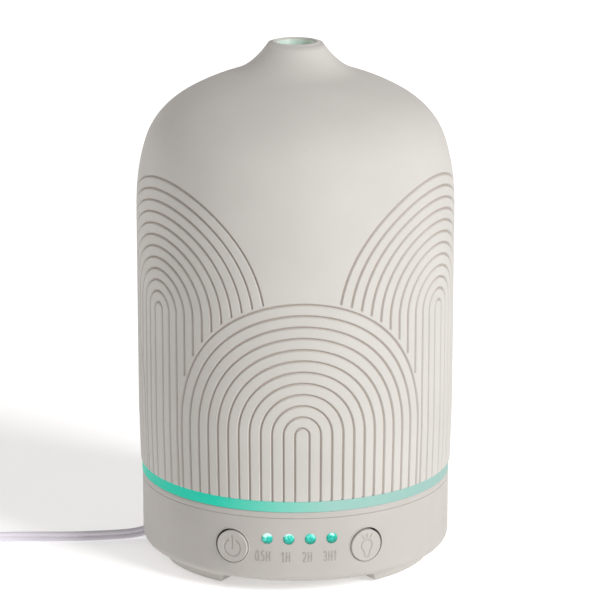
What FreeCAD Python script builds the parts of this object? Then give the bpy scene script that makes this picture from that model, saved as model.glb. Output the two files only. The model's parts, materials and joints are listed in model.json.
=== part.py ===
import FreeCAD, Part
import math
import os

from FreeCAD import Vector

# Ultrasonic essential oil diffuser with a ceramic cover.
# Millimetres, +Z up, the origin on the floor under the middle of the base.
# The control panel faces -Y. Angles round the body are measured from the
# panel's middle, and grow towards +X.

# ---------------------------------------------------------------- dimensions
# Heights of the stacked outer pieces
BASE_UNDERSIDE_Z = 4.3
SEAM_Z = 25.8
RING_BOTTOM_Z = 28.0
RING_TOP_Z = 31.4

# Ceramic cover
COVER_R = 51.2
COVER_FOOT_R = 50.7
COVER_FOOT_TAPER_Z = 50.0
COVER_WALL = 3.7
COVER_OUTER_DOME = [(51.2, 114.0), (51.2, 123.5), (49.6, 132.8), (46.8, 142.0), (40.3, 149.5),
                    (32.2, 154.2), (23.2, 158.1), (14.0, 160.6), (8.4, 168.8)]
COVER_INNER_DOME = [(47.5, 112.0), (47.5, 122.3), (46.0, 131.2), (43.4, 139.2), (37.9, 145.8),
                    (30.6, 150.4), (21.3, 154.4), (10.5, 157.5), (6.4, 164.0)]
COVER_LIP_TOP = (7.4, 169.0)
COVER_MOUTH_R = 6.4
COVER_MOUTH_Z = 167.7

# Inner lid, and the mist nozzle that stands in its neck
LID_R = 45.9
LID_WALL = 1.6
LID_BOTTOM_Z = 70.0
LID_SHOULDER_R = 41.6
LID_SHOULDER_Z = 79.0
LID_OUTER_DOME = [(45.9, 84.0), (45.9, 104.0), (38.0, 118.0), (22.0, 124.0), (12.0, 126.6), (8.6, 127.4)]
LID_INNER_DOME = [(44.3, 84.0), (44.3, 103.0), (37.0, 116.4), (21.5, 122.4), (12.0, 124.9), (8.6, 125.4)]
NOZZLE_R = 5.8
NOZZLE_BORE_R = 4.4
NOZZLE_BOTTOM_Z = 123.4
NOZZLE_TOP_Z = 168.2
NOZZLE_FLANGE_R = 8.2
NOZZLE_FLANGE_THICK = 1.2
SEAL_HEIGHT = 1.0

# Water tank
TANK_R = 42.4
TANK_BORE_R = 40.5
TANK_FLOOR_Z = 33.0
TANK_UNDERSIDE_Z = 31.0
TANK_RIM_Z = 78.0
TANK_RIM_R = 43.2
TANK_RIM_HEIGHT = 4.0
TANK_RIM_EASE = 0.8
TANK_CORNER = 4.0
TANK_SKIRT_BORE_R = 40.4
AIR_TUBE_R = 7.0
AIR_TUBE_BORE_R = 5.6
AIR_TUBE_TOP_Z = 86.0
TANK_POST_R = 3.4
TANK_POST_FLARE_R = 38.5

# Ultrasonic disc under the middle of the tank
WELL_R = 8.0
DISC_R = 10.0
DISC_Z = (29.2, 29.9)
GASKET_R = 12.2
GASKET_BORE_R = 8.6
GASKET_BOTTOM_Z = 28.0
CLAMP_R = 15.5
CLAMP_BOTTOM_Z = 26.4
CLAMP_SCREW_CIRCLE_R = 13.85
CLAMP_SCREW_R = 1.0

# Light ring and the board that lights it
LIGHT_RING_R = 50.3
LIGHT_RING_BORE_R = 42.7
LIGHT_RING_LEG_R = 47.6
LIGHT_RING_LEG_Z = 24.8
RING_BOARD_Z = (22.3, 23.3)
RING_BOARD_R = (42.6, 47.9)
RING_LED_COUNT = 12
RING_LED_SIZE = (2.8, 3.5, 1.2)

# Lower housing
HOUSING_R = 50.2
HOUSING_BORE_R = 48.2
HOUSING_EDGE_R = 3.0
TRIM_BORE_R = 47.9
LEDGE_R = 46.2
LEDGE_THICK = 0.9
LOWER_LEDGE_R = 45.5
LOWER_LEDGE_TOP_Z = 7.5

# Control panel
BUTTON_ANGLE = 25.1
BUTTON_Z = 15.6
BUTTON_R = 5.35
BUTTON_HOLE_R = 5.6
BUTTON_FACE_R = 50.5
BUTTON_FLANGE_R = 6.5
BUTTON_FLANGE = (46.6, 47.6)
BUTTON_STEM_R = 2.0
BUTTON_CLEARANCE = 0.4
PLUNGER_R = 1.7
PLUNGER = (42.7, 44.2)
SWITCH = (39.7, 43.2)
SWITCH_HALF = 3.0
WINDOW_ANGLES = (-11.7, -3.9, 3.9, 11.7)
WINDOW_Z = 19.1
WINDOW_R = 1.75
WINDOW_HOLE_R = 1.8

# Bottom cover and feet
BOTTOM_R = 46.9
BOTTOM_TOP_Z = 6.3
FOOT_ANGLES = (-130.0, -50.0, 50.0, 130.0)
FOOT_TOP = (33.0, 47.0, 19.5)
FOOT_BOTTOM = (34.0, 44.2, 16.0)
FOOT_BOTTOM_Z = 0.5
PAD_R = 4.2
PAD_HEIGHT = 1.0
PAD_OFFSET_ANGLE = 7.5
SCREW_CIRCLE_R = 38.5

# Channel under the base that the power lead leaves by
CHANNEL_X = (-45.3, -14.0)
CHANNEL_Y = (-1.5, 13.5)
CHANNEL_CEILING_Z = 14.6
CHANNEL_WALL = 1.2
NOTCH_Y = (2.0, 13.5)
NOTCH_TOP_Z = 9.8
SOCKET_Y = 4.0
SOCKET_Z = 10.6
SOCKET_HALF = 4.2
SOCKET_LENGTH = 13.0
SOCKET_BORE_R = 2.8
PLUG_BARREL_R = 2.75
PLUG_GRIP_R = 3.5
PLUG_GRIP_LENGTH = 9.0

# Moulded posts and the screws in them
SCREW_SHANK_R = 1.2
TANK_POST_HOLE_DEPTH = 9.0
COVER_POST_R = 4.6
COVER_POST_HOLE_R = 1.3
COVER_POST_COUNTERBORE = (3.2, 3.4)
BOTTOM_SCREW_HEAD = (2.6, 1.6)
BOTTOM_SCREW_TOP_Z = 14.0
FOOT_WALL = 1.8
FOOT_HOLLOW_BOTTOM_Z = 2.7
FOOT_HOLLOW_TRIM = 2.5

# Circuit board and fan
BOARD_Z = (10.4, 12.0)
BOARD_R = 42.0
BOARD_BACK_Y = -4.0
BOARD_POST_R = 2.5
BOARD_SCREW_HEAD = (2.2, 1.4)
BOARD_POSTS = ((-16.5, -28.6), (16.5, -28.6), (-24.0, -8.0), (24.0, -8.0))
FAN_XY = (0.0, 26.0)
FAN_Z = (7.3, 17.3)
FAN_HALF = 12.5
FAN_BORE_R = 11.6
FAN_SCREW_PITCH = 20.0
FAN_POST_R = 2.4
FAN_SCREW_HEAD = (1.9, 1.2)
FAN_PLATE = 1.0
FAN_PLATE_R = 6.2
FAN_ARM_HALF = 0.9
BLADE_COUNT = 7
BLADE_TIP_R = 11.2
BLADE_ROOT_R = 5.9
BLADE_PITCH_ANGLE = 42.0
BLADE_CHORD_HALF = 4.2
BLADE_HALF_THICK = 0.45
HUB_R = 6.5
HUB_BORE_R = 5.5
SHAFT_R = 0.75
DUCT_R = 11.9
DUCT_WALL = 1.0
GRILLE_R = 9.8
GRILLE_PITCH = 3.6
GRILLE_SLOT_HALF = 0.9

# Power lead: a flat twin lead 3.4 wide, so its tube is 3.4 across
CORD_R = 1.7
CORD_ROUTE = [(-27.0, 4.0, 10.6), (-36.0, 4.4, 10.2), (-50.0, 8.3, 1.75), (-62.0, 5.6, 1.75),
              (-76.0, 4.6, 1.75), (-91.0, 5.2, 1.75), (-106.0, 4.2, 1.9), (-120.0, 4.0, 2.25)]
COIL_CENTRE = (-128.0, -19.0)
COIL_R = (11.8, 24.9)
COIL_Z = (0.5, 14.3)
TAIL_ROUTE = [(-134.0, 3.9, 12.5), (-142.0, 3.4, 11.2), (-150.0, 2.0, 9.0), (-158.0, 2.0, 9.0)]
TIE_THICK = 0.5
TIE_HALF_WIDTH = 4.0
ADAPTER_X = (-206.0, -168.0)
ADAPTER_Y = (-28.0, 8.0)
ADAPTER_HEIGHT = 26.0
BLADE_SIZE = (1.5, 17.0, 6.3)
RELIEF_R = (3.4, 2.3)
BLADE_PITCH = 12.7


# ------------------------------------------------------------------- helpers
def polar(radius, angle, z=0.0):
    """A point at an angle from the panel's middle."""
    turn = math.radians(angle)
    return Vector(radius * math.sin(turn), -radius * math.cos(turn), z)


def box(x_range, y_range, z_range):
    size = [pair[1] - pair[0] for pair in (x_range, y_range, z_range)]
    return Part.makeBox(*size, Vector(x_range[0], y_range[0], z_range[0]))


def cylinder(radius, z_range, xy=(0.0, 0.0)):
    return Part.makeCylinder(radius, z_range[1] - z_range[0], Vector(xy[0], xy[1], z_range[0]))


def ring(inner_r, outer_r, z_range, xy=(0.0, 0.0)):
    return cylinder(outer_r, z_range, xy).cut(cylinder(inner_r, z_range, xy))


def radial_cylinder(radius, angle, z, reach):
    """A cylinder whose axis points outwards, between two distances from the middle."""
    start = polar(reach[0], angle, z)
    return Part.makeCylinder(radius, reach[1] - reach[0], start, polar(1.0, angle))


def radial_box(reach, half_width, angle, z_range):
    """A box that lies between two distances from the middle, at an angle."""
    block = box((-half_width, half_width), (-reach[1], -reach[0]), z_range)
    block.rotate(Vector(), Vector(0, 0, 1), angle)
    return block


def rz(point):
    return Vector(point[0], 0.0, point[1])


def spline(poles):
    """A smooth cubic edge in the r-z plane, pulled by its poles."""
    count = len(poles)
    curve = Part.BSplineCurve()
    knots = list(range(count - 2))
    multiplicities = [4] + [1] * (count - 4) + [4]
    curve.buildFromPolesMultsKnots([rz(pole) for pole in poles], multiplicities, knots, False, 3)
    return curve.toShape()


def lines(points):
    """Straight edges in the r-z plane."""
    return [Part.makeLine(rz(a), rz(b)) for a, b in zip(points, points[1:])]


def arc(start, middle, end):
    return Part.Arc(rz(start), rz(middle), rz(end)).toShape()


def revolve(edges):
    """A solid of revolution about Z from a closed outline in the r-z plane."""
    face = Part.Face(Part.Wire(Part.__sortEdges__(edges)))
    solid = face.revolve(Vector(), Vector(0, 0, 1), 360)
    return Part.Solid(solid.Shells[0]) if solid.ShapeType != "Solid" else solid


def screw(xy, head_r, head_z, shank_r, shank_z):
    """A pan-head screw with a cross slot, its head at one end of the shank."""
    head = cylinder(head_r, head_z, xy)
    shank = cylinder(shank_r, shank_z, xy)
    head_below = head_z[0] < shank_z[0]
    slot_z = (head_z[0], head_z[0] + 0.5) if head_below else (head_z[1] - 0.5, head_z[1])
    for long_x, long_y in ((1.1, 0.25), (0.25, 1.1)):
        slot = box((xy[0] - long_x, xy[0] + long_x), (xy[1] - long_y, xy[1] + long_y), slot_z)
        head = head.cut(slot)
    return head.fuse(shank)


def rounded_path(points):
    """Straight runs joined by tangent arcs as large as their runs allow."""
    points = [Vector(*point) for point in points]
    edges = []
    radii = []
    last = points[0]
    for before, corner, after in zip(points, points[1:], points[2:]):
        back = before - corner
        ahead = after - corner
        half_turn = (math.pi - back.getAngle(ahead)) / 2
        setback = 0.45 * min(back.Length, ahead.Length)
        radii.append(setback / math.tan(half_turn))
        back.normalize()
        ahead.normalize()
        start = corner + back * setback
        end = corner + ahead * setback
        inward = (back + ahead).normalize()
        depth = radii[-1] * (1 / math.cos(half_turn) - 1)
        edges.append(Part.LineSegment(last, start).toShape())
        edges.append(Part.Arc(start, corner + inward * depth, end).toShape())
        last = end
    edges.append(Part.LineSegment(last, points[-1]).toShape())
    return Part.Wire(edges), radii


def tube(points, radius):
    """A round cord or wire along a rounded path."""
    path, radii = rounded_path(points)
    start = path.Edges[0]
    circle = Part.makeCircle(radius, start.valueAt(start.FirstParameter), start.tangentAt(start.FirstParameter))
    solid = path.makePipeShell([Part.Wire(circle)], True, False)
    expected = math.pi * radius ** 2 * path.Length
    print(f"tube length {path.Length:.1f}, radii {[round(r, 1) for r in radii]}, "
          f"volume over section x length {solid.Volume / expected:.4f}")
    return solid


def sector(inner_r, outer_r, half_angle, angle, z):
    """A closed ring-sector outline at one height."""
    corners = [polar(outer_r, angle - half_angle, z), polar(outer_r, angle + half_angle, z),
               polar(inner_r, angle + half_angle, z), polar(inner_r, angle - half_angle, z)]
    outer = Part.Arc(corners[0], polar(outer_r, angle, z), corners[1]).toShape()
    inner = Part.Arc(corners[2], polar(inner_r, angle, z), corners[3]).toShape()
    return Part.Wire([outer, Part.makeLine(corners[1], corners[2]), inner,
                      Part.makeLine(corners[3], corners[0])])


def save(name, shape):
    """Writes one sub-part, after checking that every solid in it is sound."""
    solids = shape.Solids
    if not shape.isValid() or not solids or min(solid.Volume for solid in solids) <= 0:
        raise ValueError(f"{name} is not a sound shape")
    whole = solids[0] if len(solids) == 1 else Part.makeCompound(solids)
    whole.exportStep(f"parts/{name}.step")
    print(f"{name}: {len(solids)} solids, {sum(solid.Volume for solid in solids) / 1000:.2f} cm3")


# ----------------------------------------------------------- cover and lid
def outer_cover():
    bore_r = COVER_R - COVER_WALL
    outside = lines([(bore_r, RING_TOP_Z), (COVER_FOOT_R, RING_TOP_Z),
                     (COVER_R, COVER_FOOT_TAPER_Z), COVER_OUTER_DOME[0]])
    lip = arc(COVER_OUTER_DOME[-1], COVER_LIP_TOP, (COVER_MOUTH_R, COVER_MOUTH_Z))
    mouth = lines([(COVER_MOUTH_R, COVER_MOUTH_Z), COVER_INNER_DOME[-1]])
    inside = lines([COVER_INNER_DOME[0], (bore_r, RING_TOP_Z)])
    return revolve(outside + [spline(COVER_OUTER_DOME), lip] + mouth + [spline(COVER_INNER_DOME)] + inside)


def inner_lid():
    bore_r = LID_R - LID_WALL
    neck_top = LID_OUTER_DOME[-1]
    neck_bottom = LID_INNER_DOME[-1]
    neck = lines([neck_top, (NOZZLE_R, neck_top[1]), (NOZZLE_R, neck_bottom[1]), neck_bottom])
    shoulder = lines([LID_INNER_DOME[0], (LID_SHOULDER_R, LID_SHOULDER_Z + LID_WALL),
                      (LID_SHOULDER_R, LID_SHOULDER_Z), (bore_r, LID_SHOULDER_Z),
                      (bore_r, LID_BOTTOM_Z), (LID_R, LID_BOTTOM_Z), LID_OUTER_DOME[0]])
    return revolve([spline(LID_OUTER_DOME)] + neck + [spline(LID_INNER_DOME)] + shoulder)


def mist_nozzle():
    """A tube pushed into the lid's neck as far as its flange."""
    seat_z = LID_OUTER_DOME[-1][1]
    tube_wall = ring(NOZZLE_BORE_R, NOZZLE_R, (NOZZLE_BOTTOM_Z, NOZZLE_TOP_Z))
    flange = ring(NOZZLE_BORE_R, NOZZLE_FLANGE_R, (seat_z, seat_z + NOZZLE_FLANGE_THICK))
    return tube_wall.fuse(flange).removeSplitter()


def lid_seal():
    return ring(LID_SHOULDER_R, LID_R - LID_WALL - 0.1, (LID_SHOULDER_Z - SEAL_HEIGHT, LID_SHOULDER_Z))


# ------------------------------------------------------------ water tank
def water_tank():
    skirt_bottom = RING_BOARD_Z[1]
    rim_bottom = TANK_RIM_Z - TANK_RIM_HEIGHT
    bowl = revolve(lines([
        (0.0, TANK_UNDERSIDE_Z), (TANK_SKIRT_BORE_R, TANK_UNDERSIDE_Z),
        (TANK_SKIRT_BORE_R, skirt_bottom), (TANK_R, skirt_bottom), (TANK_R, rim_bottom),
        (TANK_RIM_R, rim_bottom + TANK_RIM_EASE), (TANK_RIM_R, TANK_RIM_Z), (TANK_BORE_R, TANK_RIM_Z),
        (TANK_BORE_R, TANK_FLOOR_Z + TANK_CORNER), (TANK_BORE_R - TANK_CORNER, TANK_FLOOR_Z),
        (0.0, TANK_FLOOR_Z), (0.0, TANK_UNDERSIDE_Z)]))
    collar = ring(GASKET_R, CLAMP_R, (GASKET_BOTTOM_Z, TANK_UNDERSIDE_Z))
    air_tube = cylinder(AIR_TUBE_R, (TANK_UNDERSIDE_Z, AIR_TUBE_TOP_Z), FAN_XY)
    tank = bowl.fuse([collar, air_tube])
    for angle in post_angles():
        spot = polar(TANK_POST_FLARE_R, angle)
        tank = tank.fuse(cylinder(TANK_POST_R, (BOTTOM_TOP_Z, TANK_UNDERSIDE_Z), (spot.x, spot.y)))
        hole = cylinder(SCREW_SHANK_R, (BOTTOM_TOP_Z, BOTTOM_TOP_Z + TANK_POST_HOLE_DEPTH), (spot.x, spot.y))
        tank = tank.cut(hole)
    tank = tank.cut(cylinder(AIR_TUBE_BORE_R, (TANK_UNDERSIDE_Z - 1.0, AIR_TUBE_TOP_Z + 1.0), FAN_XY))
    tank = tank.cut(cylinder(WELL_R, (TANK_UNDERSIDE_Z - 1.0, TANK_FLOOR_Z + 1.0)))
    for spot in clamp_screw_spots():
        tank = tank.cut(cylinder(CLAMP_SCREW_R, (GASKET_BOTTOM_Z, TANK_UNDERSIDE_Z + 0.5), spot))
    return tank.removeSplitter()


def post_angles():
    """The four posts stand over the outer half of each foot."""
    return [angle + math.copysign(PAD_OFFSET_ANGLE, 90.0 - abs(angle)) * math.copysign(1, angle)
            for angle in FOOT_ANGLES]


def pad_angles():
    """The four pads lie under the other half of each foot."""
    return [2 * foot - post for foot, post in zip(FOOT_ANGLES, post_angles())]


def clamp_screw_spots():
    spots = [polar(CLAMP_SCREW_CIRCLE_R, angle) for angle in (30.0, 150.0, 270.0)]
    return [(spot.x, spot.y) for spot in spots]


def transducer_disc():
    return cylinder(DISC_R, DISC_Z)


def transducer_gasket():
    body = ring(GASKET_BORE_R, GASKET_R, (GASKET_BOTTOM_Z, TANK_UNDERSIDE_Z))
    return body.cut(cylinder(DISC_R, DISC_Z))


def transducer_clamp():
    plate = ring(GASKET_BORE_R, CLAMP_R, (CLAMP_BOTTOM_Z, GASKET_BOTTOM_Z))
    for spot in clamp_screw_spots():
        plate = plate.cut(cylinder(CLAMP_SCREW_R, (CLAMP_BOTTOM_Z, GASKET_BOTTOM_Z), spot))
    return plate


def clamp_screws():
    return Part.makeCompound([
        screw(spot, 1.6, (CLAMP_BOTTOM_Z - 1.2, CLAMP_BOTTOM_Z), CLAMP_SCREW_R,
              (CLAMP_BOTTOM_Z, TANK_UNDERSIDE_Z)) for spot in clamp_screw_spots()])


# ------------------------------------------------------ light ring and trim
def light_ring():
    band = ring(LIGHT_RING_BORE_R, LIGHT_RING_R, (RING_BOTTOM_Z, RING_TOP_Z))
    leg = ring(LIGHT_RING_BORE_R, LIGHT_RING_LEG_R, (LIGHT_RING_LEG_Z, RING_BOTTOM_Z))
    return band.fuse(leg).removeSplitter()


def trim_ring():
    return ring(TRIM_BORE_R, HOUSING_R, (SEAM_Z, RING_BOTTOM_Z))


def led_ring_board():
    return ring(*RING_BOARD_R, RING_BOARD_Z)


def ring_leds():
    depth, width, height = RING_LED_SIZE
    middle = (LIGHT_RING_BORE_R + LIGHT_RING_LEG_R) / 2
    return Part.makeCompound([
        radial_box((middle - depth / 2, middle + depth / 2), width / 2, i * 360 / RING_LED_COUNT,
                   (RING_BOARD_Z[1], RING_BOARD_Z[1] + height)) for i in range(RING_LED_COUNT)])


# --------------------------------------------------------- lower housing
def lower_housing():
    flat_r = HOUSING_R - HOUSING_EDGE_R
    edge_z = BASE_UNDERSIDE_Z + HOUSING_EDGE_R
    slant = HOUSING_EDGE_R * math.sqrt(0.5)
    edge = arc((flat_r, BASE_UNDERSIDE_Z), (flat_r + slant, edge_z - slant), (HOUSING_R, edge_z))
    outline = lines([
        (HOUSING_R, edge_z), (HOUSING_R, SEAM_Z), (HOUSING_BORE_R, SEAM_Z),
        (HOUSING_BORE_R, RING_BOARD_Z[0]), (LEDGE_R, RING_BOARD_Z[0]),
        (LEDGE_R, RING_BOARD_Z[0] - LEDGE_THICK), (HOUSING_BORE_R, RING_BOARD_Z[0] - LEDGE_THICK),
        (HOUSING_BORE_R, LOWER_LEDGE_TOP_Z), (LOWER_LEDGE_R, LOWER_LEDGE_TOP_Z),
        (LOWER_LEDGE_R, BOTTOM_TOP_Z), (flat_r, BOTTOM_TOP_Z), (flat_r, BASE_UNDERSIDE_Z)])
    housing = revolve([edge] + outline)
    housing = housing.cut(box((-HOUSING_R - 1.0, -LOWER_LEDGE_R + 4.0), NOTCH_Y, (0.0, NOTCH_TOP_Z)))
    wall = (HOUSING_BORE_R - 4.0, HOUSING_R + 1.0)
    for angle in (-BUTTON_ANGLE, BUTTON_ANGLE):
        housing = housing.cut(radial_cylinder(BUTTON_HOLE_R, angle, BUTTON_Z, wall))
    for angle in WINDOW_ANGLES:
        housing = housing.cut(radial_cylinder(WINDOW_HOLE_R, angle, WINDOW_Z, wall))
    return housing


def foot(angle):
    """One moulded foot: a ring sector that narrows towards the floor, hollow from above."""
    top = sector(*FOOT_TOP, angle, BASE_UNDERSIDE_Z)
    bottom = sector(*FOOT_BOTTOM, angle, FOOT_BOTTOM_Z)
    return Part.makeLoft([bottom, top], True, True)


def foot_hollow(angle):
    outline = sector(FOOT_BOTTOM[0] + FOOT_WALL, FOOT_BOTTOM[1] - FOOT_WALL,
                     FOOT_BOTTOM[2] - FOOT_HOLLOW_TRIM, angle, FOOT_HOLLOW_BOTTOM_Z)
    return Part.Face(outline).extrude(Vector(0, 0, BOTTOM_TOP_Z))


def channel_shell():
    """The raised trough over the channel, with the wall that the socket stands behind."""
    outer = box((CHANNEL_X[0], CHANNEL_X[1] + CHANNEL_WALL),
                (CHANNEL_Y[0] - CHANNEL_WALL, CHANNEL_Y[1] + CHANNEL_WALL),
                (BASE_UNDERSIDE_Z, CHANNEL_CEILING_Z + CHANNEL_WALL))
    limit = cylinder(LOWER_LEDGE_R - 0.2, (0.0, 40.0))
    return outer.common(limit)


def bottom_cover():
    cover = cylinder(BOTTOM_R, (BASE_UNDERSIDE_Z, BOTTOM_TOP_Z))
    cover = cover.fuse([foot(angle) for angle in FOOT_ANGLES] + [channel_shell()])
    for angle in FOOT_ANGLES:
        cover = cover.cut(foot_hollow(angle))
    for angle in post_angles():
        spot = polar(SCREW_CIRCLE_R, angle)
        counterbore_r, counterbore_top = COVER_POST_COUNTERBORE
        cover = cover.fuse(cylinder(COVER_POST_R, (FOOT_BOTTOM_Z, BOTTOM_TOP_Z), (spot.x, spot.y)))
        cover = cover.cut(cylinder(counterbore_r, (0.0, counterbore_top), (spot.x, spot.y)))
        cover = cover.cut(cylinder(COVER_POST_HOLE_R, (0.0, BOTTOM_TOP_Z), (spot.x, spot.y)))
    for angle in pad_angles():
        spot = polar(SCREW_CIRCLE_R, angle)
        cover = cover.cut(cylinder(PAD_R, (0.0, PAD_HEIGHT), (spot.x, spot.y)))
    cover = cover.cut(box((-HOUSING_R, CHANNEL_X[1]), CHANNEL_Y, (0.0, CHANNEL_CEILING_Z)))
    hole = Part.makeCylinder(SOCKET_BORE_R, 2 * CHANNEL_WALL,
                             Vector(CHANNEL_X[1] - 0.5, SOCKET_Y, SOCKET_Z), Vector(1, 0, 0))
    cover = cover.cut(hole)
    for x, y in BOARD_POSTS:
        cover = cover.fuse(cylinder(BOARD_POST_R, (BOTTOM_TOP_Z, BOARD_Z[0]), (x, y)))
        cover = cover.cut(cylinder(SCREW_SHANK_R, (BOTTOM_TOP_Z, BOARD_Z[0]), (x, y)))
    for x, y in fan_screw_spots():
        cover = cover.fuse(cylinder(FAN_POST_R, (BOTTOM_TOP_Z, FAN_Z[0]), (x, y)))
        cover = cover.cut(cylinder(SCREW_SHANK_R, (BASE_UNDERSIDE_Z + 0.6, FAN_Z[0]), (x, y)))
    return cover.cut(grille_slots()).removeSplitter()


def grille_slots():
    """Air inlet slots under the fan, each as long as the round grille allows."""
    slots = []
    for i in range(-2, 3):
        offset = i * GRILLE_PITCH
        half = math.sqrt(GRILLE_R ** 2 - offset ** 2)
        slots.append(box((FAN_XY[0] - half, FAN_XY[0] + half),
                         (FAN_XY[1] + offset - GRILLE_SLOT_HALF, FAN_XY[1] + offset + GRILLE_SLOT_HALF),
                         (BASE_UNDERSIDE_Z - 1.0, BOTTOM_TOP_Z + 0.5)))
    return Part.makeCompound(slots)


def foot_pads():
    spots = [polar(SCREW_CIRCLE_R, angle) for angle in pad_angles()]
    return Part.makeCompound([cylinder(PAD_R, (0.0, PAD_HEIGHT), (spot.x, spot.y)) for spot in spots])


def bottom_screws():
    spots = [polar(SCREW_CIRCLE_R, angle) for angle in post_angles()]
    head_r, head_height = BOTTOM_SCREW_HEAD
    seat_z = COVER_POST_COUNTERBORE[1]
    return Part.makeCompound([
        screw((spot.x, spot.y), head_r, (seat_z - head_height, seat_z), SCREW_SHANK_R,
              (seat_z, BOTTOM_SCREW_TOP_Z)) for spot in spots])


# ------------------------------------------------------------ control panel
def button(angle):
    """A cap shaped to the housing's round, with a stem and a flange that is cut flat under the ledge."""
    cap = radial_cylinder(BUTTON_R, angle, BUTTON_Z, (BUTTON_FLANGE[1], BUTTON_FACE_R + 2.0))
    cap = cap.common(cylinder(BUTTON_FACE_R, (0.0, SEAM_Z)))
    under_ledge = RING_BOARD_Z[0] - LEDGE_THICK - BUTTON_CLEARANCE
    flange = radial_cylinder(BUTTON_FLANGE_R, angle, BUTTON_Z, BUTTON_FLANGE)
    flange = flange.common(cylinder(HOUSING_R, (0.0, under_ledge)))
    stem = radial_cylinder(BUTTON_STEM_R, angle, BUTTON_Z, (PLUNGER[1], BUTTON_FLANGE[0]))
    return cap.fuse([flange, stem]).removeSplitter()


def plunger(angle):
    return radial_cylinder(PLUNGER_R, angle, BUTTON_Z, PLUNGER)


def push_switch(angle):
    body = radial_box(SWITCH, SWITCH_HALF, angle, (BOARD_Z[1], BUTTON_Z + SWITCH_HALF))
    return body.cut(radial_cylinder(PLUNGER_R + 0.1, angle, BUTTON_Z, (PLUNGER[0] - 0.8, SWITCH[1] + 1.0)))


def indicator_leds():
    """Four round LEDs lying on bent legs that stand on the board."""
    leds = []
    for angle in WINDOW_ANGLES:
        bulb = radial_cylinder(1.5, angle, WINDOW_Z, (38.5, 43.6))
        legs = [radial_box((37.6, 38.5), 0.25, angle, (BOARD_Z[1], WINDOW_Z + 0.3))]
        leds.append(bulb.fuse(legs))
    return Part.makeCompound(leds)


def indicator_windows():
    """Clear light pipes, each with a low domed end."""
    windows = []
    for angle in WINDOW_ANGLES:
        pipe = radial_cylinder(WINDOW_R, angle, WINDOW_Z, (44.0, HOUSING_R + 1.0))
        bead = Part.makeSphere(4.2, polar(HOUSING_R - 3.7, angle, WINDOW_Z))
        core = radial_cylinder(WINDOW_R, angle, WINDOW_Z, (44.0, HOUSING_R - 2.0))
        windows.append(pipe.common(bead).fuse(core).removeSplitter())
    return Part.makeCompound(windows)


# ------------------------------------------------------------ circuit board
def main_board():
    board = cylinder(BOARD_R, BOARD_Z)
    board = board.common(box((-BOARD_R, BOARD_R), (-BOARD_R, BOARD_BACK_Y), BOARD_Z))
    for angle in post_angles():
        spot = polar(TANK_POST_FLARE_R, angle)
        board = board.cut(cylinder(TANK_POST_R + 0.8, BOARD_Z, (spot.x, spot.y)))
    for spot in BOARD_POSTS:
        board = board.cut(cylinder(SCREW_SHANK_R, BOARD_Z, spot))
    return board


def board_screws():
    head_r, head_height = BOARD_SCREW_HEAD
    return Part.makeCompound([
        screw(spot, head_r, (BOARD_Z[1], BOARD_Z[1] + head_height), SCREW_SHANK_R,
              (BOTTOM_TOP_Z + 0.2, BOARD_Z[1])) for spot in BOARD_POSTS])


def on_board(x_range, y_range, height):
    return box(x_range, y_range, (BOARD_Z[1], BOARD_Z[1] + height))


def heat_sink():
    base = on_board((-21.0, -9.0), (-19.0, -17.4), 13.0)
    fins = [on_board((x, x + 1.0), (-17.4, -11.0), 13.0) for x in (-21.0, -18.25, -15.5, -12.75, -10.0)]
    return base.fuse(fins)


def drive_inductor():
    bottom = BOARD_Z[1]
    flanges = [cylinder(4.6, (bottom + z, bottom + z + 1.2), (14.0, -14.0)) for z in (0.0, 7.8)]
    return cylinder(3.6, (bottom, bottom + 9.0), (14.0, -14.0)).fuse(flanges)


def capacitors():
    spots = ((24.0, -16.5), (5.0, -15.0), (-4.5, -33.0))
    return Part.makeCompound([cylinder(3.15, (BOARD_Z[1], BOARD_Z[1] + 7.7), spot) for spot in spots])


CONNECTOR_X = (-17.0, -4.0, 4.0, 17.0)


def wire_connectors():
    return Part.makeCompound([on_board((x - 2.5, x + 2.5), (-8.5, -4.5), 4.5) for x in CONNECTOR_X])


def wire_pair(points, gap=1.6):
    """Two wires side by side in X that follow the same route."""
    wires = []
    for side in (-gap / 2, gap / 2):
        wires.append(tube([(x + side, y, z) for x, y, z in points], 0.5))
    return Part.makeCompound(wires)


def transducer_wires():
    start = BOARD_Z[1] + 4.5
    return wire_pair([(-4.0, -6.5, start), (-4.0, -6.5, start + 4.0), (-3.2, -4.8, start + 8.0),
                      (-2.4, -2.4, DISC_Z[0] - 3.0), (-2.4, -2.2, DISC_Z[0])])


def fan_wires():
    start = BOARD_Z[1] + 4.5
    top = FAN_Z[1]
    return wire_pair([(4.0, -6.5, start), (4.0, -6.5, start + 3.0), (4.4, -2.0, start + 5.5),
                      (5.0, 4.0, start + 5.2), (5.4, 10.0, top + 3.8), (5.5, 13.3, top + 2.6),
                      (5.5, 13.6, top)])


def ring_wires():
    start = BOARD_Z[1] + 4.5
    board_under = RING_BOARD_Z[0]
    return wire_pair([(17.0, -6.5, start), (17.0, -6.5, start + 2.2), (20.5, -4.4, start + 3.8),
                      (27.0, -3.2, start + 3.6), (34.0, -2.6, start + 3.2), (40.5, -2.2, start + 2.9),
                      (44.4, -2.0, start + 3.2), (44.4, -2.0, board_under)])


def socket_wires():
    back_x = CHANNEL_X[1] + CHANNEL_WALL + SOCKET_LENGTH
    start = BOARD_Z[1] + 4.5
    return wire_pair([(-17.0, -6.5, start), (-17.0, -6.5, start + 2.6), (-14.0, -3.6, start + 4.4),
                      (-9.0, -1.0, start + 4.0), (-4.5, 2.0, start + 2.2),
                      (-3.0, SOCKET_Y, start + 0.4),
                      (back_x - 3.0, SOCKET_Y, SOCKET_Z + SOCKET_HALF)])


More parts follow.
